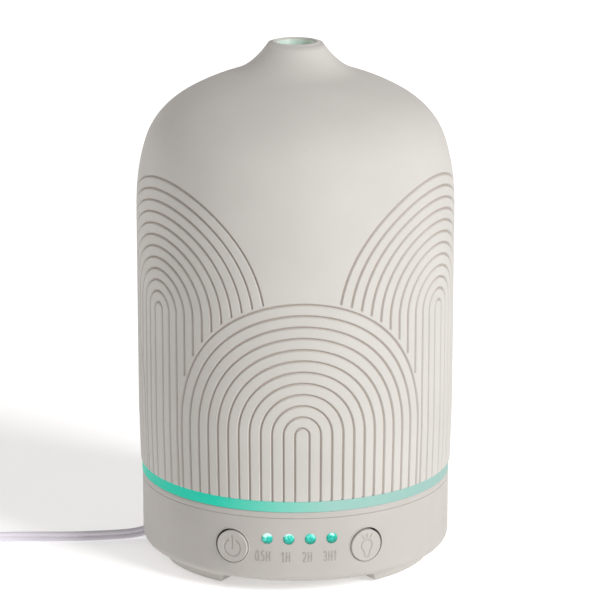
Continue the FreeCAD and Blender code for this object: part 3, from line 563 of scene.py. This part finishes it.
# ---------------------------------------------------------------- ceramic cover
COVER_TOP_Z = top_of("outer_cover")
COVER_BOTTOM_Z = bottom_of("outer_cover")
COVER_R = 51.2
COVER_FOOT_R = 50.7
COVER_TAPER_Z = 50.0
COVER_BORE_R = 47.5
OUTER_DOME = [(51.2, 114.0), (51.2, 123.5), (49.6, 132.8), (46.8, 142.0), (40.3, 149.5),
              (32.2, 154.2), (23.2, 158.1), (14.0, 160.6), (8.4, 168.8)]
INNER_DOME = [(47.5, 112.0), (47.5, 122.3), (46.0, 131.2), (43.4, 139.2), (37.9, 145.8),
              (30.6, 150.4), (21.3, 154.4), (10.5, 157.5), (6.4, 164.0)]
ROUNDS = 192
SECTOR = math.pi * COVER_R / 3
PATTERN_TOP_Z = 131.6
PATTERN_TURN = math.radians(0.8)
ARCH_COUNT = 12
ARCH_FIRST_R = 2.25
ARCH_PITCH = 3.616
ARCH_LAST_R = ARCH_FIRST_R + ARCH_PITCH * (ARCH_COUNT - 1)
LOW_ARCH_Z = 53.5
TALL_ARCH_Z = 88.0
GROOVE_HALF = 0.54
GROOVE_FLOOR = 0.12
GROOVE_DEPTH = 0.6
GROOVE_STEPS = (GROOVE_FLOOR, 0.28, 0.42, GROOVE_HALF)
TALL_END_GAP = 1.45
WAY_FALL = 10.0
EDGE_ROUND = 0.5
EDGE_SHARE = 0.8

dome_line = cubic(OUTER_DOME, 400)


def outer_radius(z):
    """The cover's outer radius at each height, with its bottom edge eased."""
    z = np.asarray(z, float)
    wall = np.interp(z, [COVER_BOTTOM_Z, COVER_TAPER_Z], [COVER_FOOT_R, COVER_R])
    dome = np.interp(z, dome_line[:, 1], dome_line[:, 0])
    radius = np.where(z > OUTER_DOME[0][1], dome, wall)
    ease = np.clip(1 - (z - COVER_BOTTOM_Z) / EDGE_ROUND, 0, 1)
    return radius - EDGE_ROUND * (1 - np.sqrt(1 - ease ** 2)) * EDGE_SHARE


def groove(off):
    """How deep the engraving is at a distance from the middle of a groove."""
    share = np.clip((GROOVE_HALF - np.abs(off)) / (GROOVE_HALF - GROOVE_FLOOR), 0, 1)
    return GROOVE_DEPTH * share ** 1.3 * (1.6 - 0.6 * share)


def nearest_arch(distance):
    return np.clip(np.round((distance - ARCH_FIRST_R) / ARCH_PITCH), 0, ARCH_COUNT - 1).astype(int)


def arch_distance(across, z, centre_z):
    return np.where(z > centre_z, np.hypot(across, z - centre_z), np.abs(across))


def tall_point(radius, way):
    """A point on a tall arch, by an angle from its top and then a fall in millimetres."""
    turn = min(way, math.pi / 2)
    fall = max(way - math.pi / 2, 0.0) * WAY_FALL
    return SECTOR - radius * math.sin(turn), TALL_ARCH_Z + radius * math.cos(turn) - fall


def tall_ways():
    """How far down each tall arch's groove runs before it stops short of the low arch."""
    ways = []
    for i in range(ARCH_COUNT):
        near, far = 0.0, math.pi / 2 + (TALL_ARCH_Z - COVER_BOTTOM_Z) / WAY_FALL
        radius = ARCH_FIRST_R + i * ARCH_PITCH
        if SECTOR - radius > ARCH_LAST_R + TALL_END_GAP:
            ways.append(far)
            continue
        for _ in range(40):
            middle = (near + far) / 2
            low = arch_distance(*tall_point(radius, middle), LOW_ARCH_Z)
            near, far = (middle, far) if low > ARCH_LAST_R + TALL_END_GAP else (near, middle)
        ways.append(near)
    return np.array(ways)


TALL_WAYS = tall_ways()


def fold(along):
    """Every sixth of the way round is the same half arch, turned over."""
    return np.abs((along + SECTOR) % (2 * SECTOR) - SECTOR)


def relief(along, z):
    """The depth of the engraving: low arches, and tall ones that stop short of them."""
    half = fold(along)
    low = arch_distance(half, z, LOW_ARCH_Z)
    tall = arch_distance(SECTOR - half, z, TALL_ARCH_Z)
    low_off = low - ARCH_FIRST_R - nearest_arch(low) * ARCH_PITCH
    order = nearest_arch(tall)
    radius = ARCH_FIRST_R + order * ARCH_PITCH
    turn = np.arctan2(np.maximum(SECTOR - half, 0), np.maximum(z - TALL_ARCH_Z, 0))
    fall = np.maximum(TALL_ARCH_Z - z, 0)
    stop = TALL_WAYS[order]
    stop_fall = np.maximum(stop - math.pi / 2, 0) * WAY_FALL
    beyond = radius * (turn - np.minimum(stop, math.pi / 2)) + fall - stop_fall
    tall_off = np.hypot(tall - radius, np.maximum(beyond, 0))
    return np.maximum(groove(low_off), np.where(low > ARCH_LAST_R, groove(tall_off), 0))


def cover_surface(along, z):
    """Points of the engraved wall, in millimetres."""
    radius = outer_radius(z) - relief(along, z)
    angle = along / COVER_R + PATTERN_TURN
    return np.stack([radius * np.sin(angle), -radius * np.cos(angle), z], -1)


def arch_lines():
    """The edges and floors of the grooves in half a sector, as lines in (along, height)."""
    lines = []
    for i, way in enumerate(TALL_WAYS):
        middle_r = ARCH_FIRST_R + i * ARCH_PITCH
        for offset in GROOVE_STEPS:
            for radius in (middle_r - offset, middle_r + offset):
                turns = np.linspace(0, math.pi / 2, max(7, math.ceil(radius * math.pi / 2 / 1.5)) + 1)
                lines.append([(radius * math.sin(t), LOW_ARCH_Z + radius * math.cos(t)) for t in turns]
                             + [(radius, COVER_BOTTOM_Z)])
            lines += tall_lines(middle_r, offset, way)
    return lines


def tall_lines(middle_r, offset, way):
    """Both edges of a tall arch's groove at an offset, with the round end that joins them."""
    bend = min(way, math.pi / 2)
    turns = list(np.linspace(0, bend, max(4, math.ceil(middle_r * bend / 1.5)) + 1))
    if way > math.pi / 2:
        turns.append(way)
    sides = [[tall_point(middle_r + side * offset, turn) for turn in turns] for side in (-1, 1)]
    if sides[0][-1][1] <= COVER_BOTTOM_Z + 1e-6:
        return sides
    end = Vector(tall_point(middle_r, way))
    out = (Vector(sides[1][-1]) - end).normalized()
    ahead = Vector((-out.y, out.x))
    cap = [tuple(end + (out * -math.cos(t) + ahead * math.sin(t)) * offset)
           for t in np.linspace(0, math.pi, 9)[1:-1]]
    return [sides[0] + cap + sides[1][::-1]]


def half_sector():
    """A flat triangulation of half a sector that follows every groove's edges."""
    points = []
    edges = []

    def add(line):
        start = len(points)
        points.extend(Vector(point) for point in line)
        edges.extend((start + i, start + i + 1) for i in range(len(line) - 1))

    steps = ROUNDS // 6
    level_z = [COVER_BOTTOM_Z, COVER_BOTTOM_Z + 0.15, COVER_BOTTOM_Z + 0.5, COVER_TAPER_Z]
    level_z += list(np.linspace(OUTER_DOME[0][1], PATTERN_TOP_Z, 12))
    for z in level_z:
        add([(SECTOR * i / steps, z) for i in range(steps + 1)])
    for along in (0.0, SECTOR):
        add([(along, COVER_BOTTOM_Z), (along, PATTERN_TOP_Z)])
    for line in arch_lines():
        add(line)
    verts, _, faces, *_ = delaunay_2d_cdt(points, edges, [], 0, 1e-4)
    flat = np.array([(v[0], v[1]) for v in verts])
    kept = []
    for face in faces:
        a, b, c = (flat[i] for i in face)
        area = (b[0] - a[0]) * (c[1] - a[1]) - (b[1] - a[1]) * (c[0] - a[0])
        if abs(area) > 1e-7:
            kept.append(tuple(face) if area > 0 else tuple(reversed(face)))
    return flat, kept


def bridge(first, second, angles_first, angles_second):
    """Triangles between two closed loops of different counts, matched by angle."""
    faces = []
    i = j = 0
    while i < len(first) or j < len(second):
        next_first = angles_first[i] if i < len(first) else math.inf
        next_second = angles_second[j] if j < len(second) else math.inf
        a, b = first[i % len(first)], second[j % len(second)]
        if next_first <= next_second:
            faces.append((a, b, first[(i + 1) % len(first)]))
            i += 1
        else:
            faces.append((a, b, second[(j + 1) % len(second)]))
            j += 1
    return faces


def ceramic_cover():
    flat, triangles = half_sector()
    round_trip = 6 * SECTOR
    known = {}
    spots = []
    faces = []
    corners = []

    def index(along, z):
        key = (round((along % round_trip) / 0.002) % round(round_trip / 0.002), round(z / 0.002))
        for shift in ((0, 0), (1, 0), (-1, 0), (0, 1), (0, -1)):
            near = (key[0] + shift[0], key[1] + shift[1])
            if near in known:
                return known[near]
        known[key] = len(spots)
        spots.append((along % round_trip, z))
        return known[key]

    for copy in range(3):
        for mirror in (1, -1):
            base = 2 * SECTOR * copy
            where = [index(base + mirror * x, z) for x, z in flat]
            for face in triangles:
                order = face if mirror > 0 else tuple(reversed(face))
                ids = tuple(where[i] for i in order)
                if len(set(ids)) == 3:
                    faces.append(ids)
                    corners.append([(base + mirror * flat[i][0], flat[i][1]) for i in order])
    spots = np.array(spots)
    points = list(cover_surface(spots[:, 0], spots[:, 1]))
    engraved = len(faces)

    def rim(z):
        loop = [i for i, spot in enumerate(spots) if abs(spot[1] - z) < 1e-3]
        loop.sort(key=lambda i: spots[i][0])
        return loop, [spots[i][0] / COVER_R for i in loop]

    # Smooth rows from the pattern's top over the dome and lip, and down inside
    upper = [tuple(p) for p in dome_line if p[1] > PATTERN_TOP_Z + 0.6][::5]
    lip = [(8.2, COVER_TOP_Z - 0.75), (7.85, COVER_TOP_Z - 0.42), (7.4, COVER_TOP_Z - 0.2),
           (6.95, COVER_TOP_Z - 0.14), (6.6, COVER_TOP_Z - 0.3), (6.42, COVER_TOP_Z - 0.7),
           (6.4, COVER_TOP_Z - 1.4)]
    inside = [tuple(p) for p in cubic(INNER_DOME, 44)[::-1]]
    outline = upper + lip + inside + [(COVER_BORE_R, 80.0), (COVER_BORE_R, COVER_BOTTOM_Z + 0.4),
                                      (COVER_BORE_R + 0.4, COVER_BOTTOM_Z)]
    angles = [2 * math.pi * i / ROUNDS for i in range(ROUNDS)]
    first_row = len(points)
    for radius, z in outline:
        for angle in angles:
            turned = angle + PATTERN_TURN
            points.append((radius * math.sin(turned), -radius * math.cos(turned), z))
    top_loop, top_angles = rim(PATTERN_TOP_Z)
    low_loop, low_angles = rim(COVER_BOTTOM_Z)
    first_ids = [first_row + i for i in range(ROUNDS)]
    last_ids = [first_row + (len(outline) - 1) * ROUNDS + i for i in range(ROUNDS)]
    faces += [tuple(reversed(face)) for face in bridge(top_loop, first_ids, top_angles, angles)]
    for row in range(len(outline) - 1):
        for i in range(ROUNDS):
            j = (i + 1) % ROUNDS
            a, b = first_row + row * ROUNDS, first_row + (row + 1) * ROUNDS
            faces.append((a + i, a + j, b + j, b + i))
    faces += bridge(low_loop, last_ids, low_angles, angles)
    made = piece("ceramic_cover", [Vector(point) * MM for point in points], faces, "ceramic_cover",
                 "outer_cover", ("outer_cover",))
    set_relief_normals(made.data, corners, engraved)
    depth = np.zeros(len(points), np.float32)
    depth[:len(spots)] = relief(spots[:, 0], spots[:, 1])
    made.data.attributes.new("engraving", "FLOAT", "POINT").data.foreach_set("value", depth)
    return made


def set_relief_normals(mesh, corners, engraved):
    """Gives the engraved wall's corners the true normals of its grooves."""
    normals = np.zeros((len(mesh.loops), 3), np.float32)
    mesh.vertices.foreach_get("normal", buffer := np.zeros(len(mesh.vertices) * 3, np.float32))
    by_loop = np.zeros(len(mesh.loops), np.int32)
    mesh.loops.foreach_get("vertex_index", by_loop)
    normals[:] = buffer.reshape(-1, 3)[by_loop]
    spots = np.array(corners).reshape(-1, 3, 2)
    inner = spots * 0.96 + spots.mean(1, keepdims=True) * 0.04
    along, z = inner[..., 0].ravel(), inner[..., 1].ravel()
    step = 0.004
    across = cover_surface(along + step, z) - cover_surface(along - step, z)
    upward = cover_surface(along, z + step) - cover_surface(along, z - step)
    exact = np.cross(across, upward)
    exact /= np.linalg.norm(exact, axis=1, keepdims=True)
    normals[:engraved * 3] = exact
    mesh.normals_split_custom_set(normals.tolist())


cover = ceramic_cover()
print("cover triangles", len(cover.data.polygons))


# ---------------------------------------------------------------- buttons
BUTTON_ANGLE = math.radians(25.1)
BUTTON_Z = 15.6
BUTTON_R = 5.22
BUTTON_HOLE_R = 5.6
BUTTON_FACE_R = 50.95
BUTTON_BACK_R = 46.6
BUTTON_DISH = 0.3
ICON_HALF = 0.35
ICON_DEPTH = 0.3
HOUSING_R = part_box("lower_housing")[1].x / MM


def stroke_distance(u, v, strokes):
    """The distance to the nearest of several polylines."""
    nearest = np.full(u.shape, 99.0)
    for line in strokes:
        for (ax, ay), (bx, by) in zip(line, line[1:]):
            length2 = max((bx - ax) ** 2 + (by - ay) ** 2, 1e-9)
            share = np.clip(((u - ax) * (bx - ax) + (v - ay) * (by - ay)) / length2, 0, 1)
            nearest = np.minimum(nearest, np.hypot(u - ax - share * (bx - ax), v - ay - share * (by - ay)))
    return nearest


def arc_points(centre, radius, start, end, steps=28):
    """Points on an arc, its angles in degrees from +u."""
    return [(centre[0] + radius * math.cos(math.radians(start + (end - start) * i / steps)),
             centre[1] + radius * math.sin(math.radians(start + (end - start) * i / steps)))
            for i in range(steps + 1)]


POWER_LEAN = (0.27, -0.06)
LIGHT_LEAN = (-0.27, -0.08)
POWER_ICON = [arc_points((0.0, -0.45), 2.75, 118, 422), [(0.0, 3.6), (0.0, -0.6)]]
BULB_ICON = [
    arc_points((0.0, -0.15), 1.9, -38, 218) + [(-0.95, -2.3), (-0.85, -3.1)]
    + arc_points((0.0, -3.1), 0.85, 180, 360, 10) + [(0.95, -2.3), (1.5, -1.32)],
    [(0.0, 2.65), (0.0, 3.75)], [(-1.15, 2.35), (-1.75, 3.3)], [(1.15, 2.35), (1.75, 3.3)]]


def button_cap(name, angle, strokes, node, body, lean):
    """A dished cap that sits a little to one side of its hole, with an engraved sign."""
    radial = [BUTTON_R * t for t in np.linspace(0, 0.93, 62)[1:]]
    edge = [(BUTTON_R - 0.38 * (1 - math.sin(t)), 0.38 * (1 - math.cos(t)))
            for t in np.linspace(0.2, math.pi / 2, 6)]
    count = 132
    around_angles = np.linspace(0, 2 * math.pi, count, endpoint=False)
    rows = []
    for radius in radial:
        u, v = radius * np.cos(around_angles), radius * np.sin(around_angles)
        share = np.clip((ICON_HALF - stroke_distance(u, v, strokes)) / (ICON_HALF * 0.7), 0, 1)
        dish = BUTTON_DISH * (1 - (radius / BUTTON_R) ** 2)
        out = np.sqrt(BUTTON_FACE_R ** 2 - u ** 2) - dish - ICON_DEPTH * share * share * (3 - 2 * share)
        rows.append(np.stack([u, v, out], -1))
    for radius, drop in edge:
        u, v = radius * np.cos(around_angles), radius * np.sin(around_angles)
        rows.append(np.stack([u, v, np.sqrt(BUTTON_FACE_R ** 2 - u ** 2) - drop], -1))
    u, v = BUTTON_R * np.cos(around_angles), BUTTON_R * np.sin(around_angles)
    rows.append(np.stack([u, v, np.full(count, BUTTON_BACK_R)], -1))
    rows = rows[::-1]
    right = Vector((math.cos(angle), math.sin(angle), 0.0))
    outward = Vector((math.sin(angle), -math.cos(angle), 0.0))
    middle = right * lean[0] + Vector((0.0, 0.0, BUTTON_Z + lean[1]))
    placed = [[(right * u + Vector((0, 0, v)) + outward * out + middle) * MM for u, v, out in row]
              for row in rows]
    points, faces = loft(placed, cap_first=True)
    centre = len(points)
    points.append((outward * (BUTTON_FACE_R - BUTTON_DISH) + middle) * MM)
    last = centre - count
    faces += [(last + i, last + (i + 1) % count, centre) for i in range(count)]
    return sharpen(piece(name, points, faces, "button_plastic", body, (node,)), 50)


button_cap("power_cap", -BUTTON_ANGLE, POWER_ICON, "power_button", "power_button", POWER_LEAN)
button_cap("light_cap", BUTTON_ANGLE, BULB_ICON, "light_button", "light_button", LIGHT_LEAN)


def panel_point(angle, z):
    """Places points on the housing's round: across, up and out from a spot on the panel."""
    right = Vector((math.cos(angle), math.sin(angle), 0.0))
    outward = Vector((math.sin(angle), -math.cos(angle), 0.0))

    def place(u, v, height):
        distance = math.sqrt(HOUSING_R ** 2 - u ** 2) + height
        return (right * u + outward * distance + Vector((0, 0, z + v))) * MM
    return place


def button_rim(name, angle):
    """The raised, rounded edge of a button's hole."""
    place = panel_point(angle, BUTTON_Z)
    profile = [(0.0, -0.9), (0.0, -0.05), (0.05, 0.08), (0.16, 0.14), (0.3, 0.13), (0.44, 0.04), (0.5, -0.1),
               (0.5, -0.9)]
    rows = [[place((BUTTON_HOLE_R + out) * math.cos(a), (BUTTON_HOLE_R + out) * math.sin(a), height)
             for a in np.linspace(0, 2 * math.pi, 96, endpoint=False)] for out, height in profile]
    return piece(name, *loft(rows, joined=True), "housing_plastic", "base")


button_rim("power_rim", -BUTTON_ANGLE)
button_rim("light_rim", BUTTON_ANGLE)


# ---------------------------------------------------------------- indicator lenses
LENS_DOME = 0.75
LENS_SINK = 0.15
LENS_DEEP = 6.0
DIMPLE_SCALE = 1.3
DIMPLE_HEIGHT = 0.22


def indicator_lenses():
    """Four domed lenses with lightly dimpled faces, each on the end of its light pipe."""
    points, faces = [], []
    radii = [WINDOW_R * t for t in (1.0, 0.99, 0.96, 0.9, 0.8, 0.68, 0.54, 0.4, 0.26, 0.13)]
    for number, degrees in enumerate(WINDOW_ANGLES):
        place = panel_point(math.radians(degrees), WINDOW_Z)
        turns = np.linspace(0, 2 * math.pi, 40, endpoint=False)
        rows = [[place(WINDOW_R * math.cos(a), WINDOW_R * math.sin(a), -LENS_DEEP) for a in turns]]
        for radius in radii:
            row = []
            for a in turns:
                u, v = radius * math.cos(a), radius * math.sin(a)
                dome = LENS_DOME * math.sqrt(max(1.0 - (radius / WINDOW_R) ** 2, 0.0)) - LENS_SINK
                spot = Vector((u * DIMPLE_SCALE, v * DIMPLE_SCALE, number * 7.0))
                dimple = noise.noise(spot) * DIMPLE_HEIGHT
                row.append(place(u, v, dome + dimple * (1.0 - radius / WINDOW_R)))
            rows.append(row)
        more_points, more_faces = loft(rows, cap_first=True, cap_last=True)
        faces += [tuple(i + len(points) for i in face) for face in more_faces]
        points += more_points
    made = piece("indicator_lenses", points, faces, "window_lens", "base", ("indicator_windows",))
    return sharpen(made, 60)


indicator_lenses()


# ---------------------------------------------------------------- trim ring
TRIM_LOW = bottom_of("trim_ring")
TRIM_HIGH = top_of("trim_ring")
TRIM_BORE_R = 47.9
turned_ring("trim_band", [
    (TRIM_BORE_R, TRIM_LOW), (HOUSING_R - 0.22, TRIM_LOW), (HOUSING_R - 0.16, TRIM_LOW + 0.05),
    (HOUSING_R - 0.04, TRIM_LOW + 0.12), (HOUSING_R, TRIM_LOW + 0.2), (HOUSING_R, TRIM_HIGH - 0.4),
    (HOUSING_R - 0.1, TRIM_HIGH - 0.15), (HOUSING_R - 0.35, TRIM_HIGH), (TRIM_BORE_R, TRIM_HIGH)],
    "trim_plastic", "base", "trim_ring")


# ---------------------------------------------------------------- mist nozzle
NOZZLE_LOW = bottom_of("mist_nozzle")
NOZZLE_HIGH = top_of("mist_nozzle")
NOZZLE_BORE_R = 4.4
NOZZLE_R = 5.8
NOZZLE_FLANGE_R = 8.2
NOZZLE_SEAT_Z = 127.4
NOZZLE_FLANGE_Z = NOZZLE_SEAT_Z + 1.2
turned_ring("flared_nozzle", [
    (NOZZLE_BORE_R, NOZZLE_LOW), (NOZZLE_R, NOZZLE_LOW), (NOZZLE_R, NOZZLE_SEAT_Z),
    (NOZZLE_FLANGE_R, NOZZLE_SEAT_Z), (NOZZLE_FLANGE_R, NOZZLE_FLANGE_Z),
    (NOZZLE_R, NOZZLE_FLANGE_Z), (NOZZLE_R, 165.0),
    (5.95, 167.0), (6.15, NOZZLE_HIGH - 0.3), (6.15, NOZZLE_HIGH + 0.1), (6.05, NOZZLE_HIGH + 0.2),
    (5.95, NOZZLE_HIGH), (5.75, 167.0), (5.3, 164.0), (4.6, 158.0), (NOZZLE_BORE_R, 152.0)],
    "lid_plastic", "inner_lid", "mist_nozzle", 96)


# ---------------------------------------------------------------- timer labels
LABEL_Z = 13.2
LABEL_HEIGHT = 3.2
LABEL_HALF = 0.19
LABEL_RISE = 0.13
LABEL_PAINTED_SHADE = label_shade_finish()
# Each letter's width, as a share of its height, and its strokes. The point tucks in between its
# neighbours, so its width is below zero.
GLYPHS = {
    "0": (0.62, [[(0.31, 1.0), (0.1, 0.9), (0.0, 0.65), (0.0, 0.35), (0.1, 0.1), (0.31, 0.0), (0.52, 0.1),
                  (0.62, 0.35), (0.62, 0.65), (0.52, 0.9), (0.31, 1.0)]]),
    ".": (-0.42, [[(-0.21, 0.0), (-0.21, 0.05)]]),
    "1": (0.4, [[(0.0, 0.78), (0.24, 1.0), (0.24, 0.0)], [(0.04, 0.0), (0.44, 0.0)]]),
    "2": (0.6, [[(0.02, 0.78), (0.1, 0.94), (0.3, 1.0), (0.5, 0.92), (0.57, 0.74), (0.5, 0.52), (0.02, 0.0),
                 (0.6, 0.0)]]),
    "3": (0.6, [[(0.03, 0.86), (0.28, 1.0), (0.52, 0.9), (0.55, 0.7), (0.45, 0.55), (0.24, 0.52)],
                [(0.24, 0.52), (0.5, 0.45), (0.6, 0.26), (0.5, 0.06), (0.27, 0.0), (0.0, 0.13)]]),
    "5": (0.58, [[(0.52, 1.0), (0.1, 1.0), (0.06, 0.56), (0.3, 0.62), (0.52, 0.5), (0.58, 0.28), (0.5, 0.07),
                  (0.28, 0.0), (0.0, 0.1)]]),
    "H": (0.6, [[(0.0, 0.0), (0.0, 1.0)], [(0.6, 0.0), (0.6, 1.0)], [(0.0, 0.5), (0.6, 0.5)]]),
    "^": (0.4, [[(0.2, 0.0), (0.2, 1.0)], [(0.0, 0.74), (0.2, 1.0), (0.4, 0.74)]]),
}
GLYPH_WIDEN = 0.5
GLYPH_GAP = 0.24


def ribbon(line, half, rise, place):
    """A low rounded bar along a flat line, put on the surface by place(u, v, height)."""
    profile = ((-1.0, -0.6), (-0.9, 0.55), (-0.5, 1.0), (0.5, 1.0), (0.9, 0.55), (1.0, -0.6))
    rows = []
    for i, point in enumerate(line):
        before, after = line[max(i - 1, 0)], line[min(i + 1, len(line) - 1)]
        du, dv = after[0] - before[0], after[1] - before[1]
        size = math.hypot(du, dv)
        nu, nv = -dv / size, du / size
        rows.append([place(point[0] + nu * half * side, point[1] + nv * half * side, rise * height)
                     for side, height in profile])
    return loft(rows, cap_first=True, cap_last=True)


def label(name, text, angle):
    """A label in thin condensed strokes, laid on the housing's round."""
    widths = [GLYPHS[letter][0] * GLYPH_WIDEN for letter in text]
    total = (sum(widths) + GLYPH_GAP * (len(text) - 1)) * LABEL_HEIGHT
    start = -total / 2
    points, faces = [], []

    def place(u, v, height):
        return around(HOUSING_R + height, angle + u / HOUSING_R, LABEL_Z + v)

    for letter, width in zip(text, widths):
        for stroke in GLYPHS[letter][1]:
            line = [(start + x * GLYPH_WIDEN * LABEL_HEIGHT, (y - 0.5) * LABEL_HEIGHT) for x, y in stroke]
            more_points, more_faces = ribbon(line, LABEL_HALF, LABEL_RISE, place)
            faces += [tuple(i + len(points) for i in face) for face in more_faces]
            points += more_points
        start += (width + GLYPH_GAP) * LABEL_HEIGHT
    made = piece(name, points, faces, "housing_plastic", "base", smooth=False)
    # The strokes' darker colour is painted shade for engraved lines.
    made.data.materials[0] = LABEL_PAINTED_SHADE
    return made


for name, text, degrees in (("label_half_hour", "0.5H", -13.3), ("label_one_hour", "1H", -4.9),
                            ("label_two_hours", "2H", 2.8), ("label_three_hours", "3H^", 11.1)):
    label(name, text, math.radians(degrees))


# ---------------------------------------------------------------- floor and light
def studio():
    floor_mesh = bpy.data.meshes.new("floor")
    half = 4.0
    floor_mesh.from_pydata([(-half, -half, 0), (half, -half, 0), (half, half, 0), (-half, half, 0)], [],
                           [(0, 1, 2, 3)])
    floor = bpy.data.objects.new("floor", floor_mesh)
    bpy.context.scene.collection.objects.link(floor)
    finish = Finish("floor", 0.9)
    finish.colour(finish.mottle((252, 252, 252), (250, 250, 250), 3.0))
    finish.shader.inputs["Specular IOR Level"].default_value = 0.1
    finish.glow((1.0, 1.0, 1.0, 1.0), 0.36)
    floor_mesh.materials.append(finish.material)
    floor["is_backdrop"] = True
    world = bpy.data.worlds.new("studio")
    world.use_nodes = True
    world.node_tree.nodes["Background"].inputs["Color"].default_value = (1.0, 0.96, 0.95, 1.0)
    world.node_tree.nodes["Background"].inputs["Strength"].default_value = 0.38
    bpy.context.scene.world = world


def distant_light(name, strength, azimuth, elevation, softness):
    """A broad soft light from far away, its angles in degrees."""
    data = bpy.data.lights.new(name, "SUN")
    data.energy = strength
    data.angle = math.radians(softness)
    light = bpy.data.objects.new(name, data)
    light.location = around(1000.0 * math.cos(math.radians(elevation)), math.radians(azimuth),
                            1000.0 * math.sin(math.radians(elevation)))
    light.rotation_euler = (-light.location).to_track_quat("-Z", "Y").to_euler()
    bpy.context.scene.collection.objects.link(light)


studio()
distant_light("key_right", 2.5, 50.0, 27.0, 20.0)
distant_light("edge_left", 0.7, -125.0, 20.0, 40.0)
bpy.context.scene.view_settings.view_transform = "Standard"

visual_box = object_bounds()
({name: [[float(value) for value in corner] for corner in box]
           for name, box in (("cad", CAD_BOX), ("visual", visual_box))})

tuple(cord_points[0])
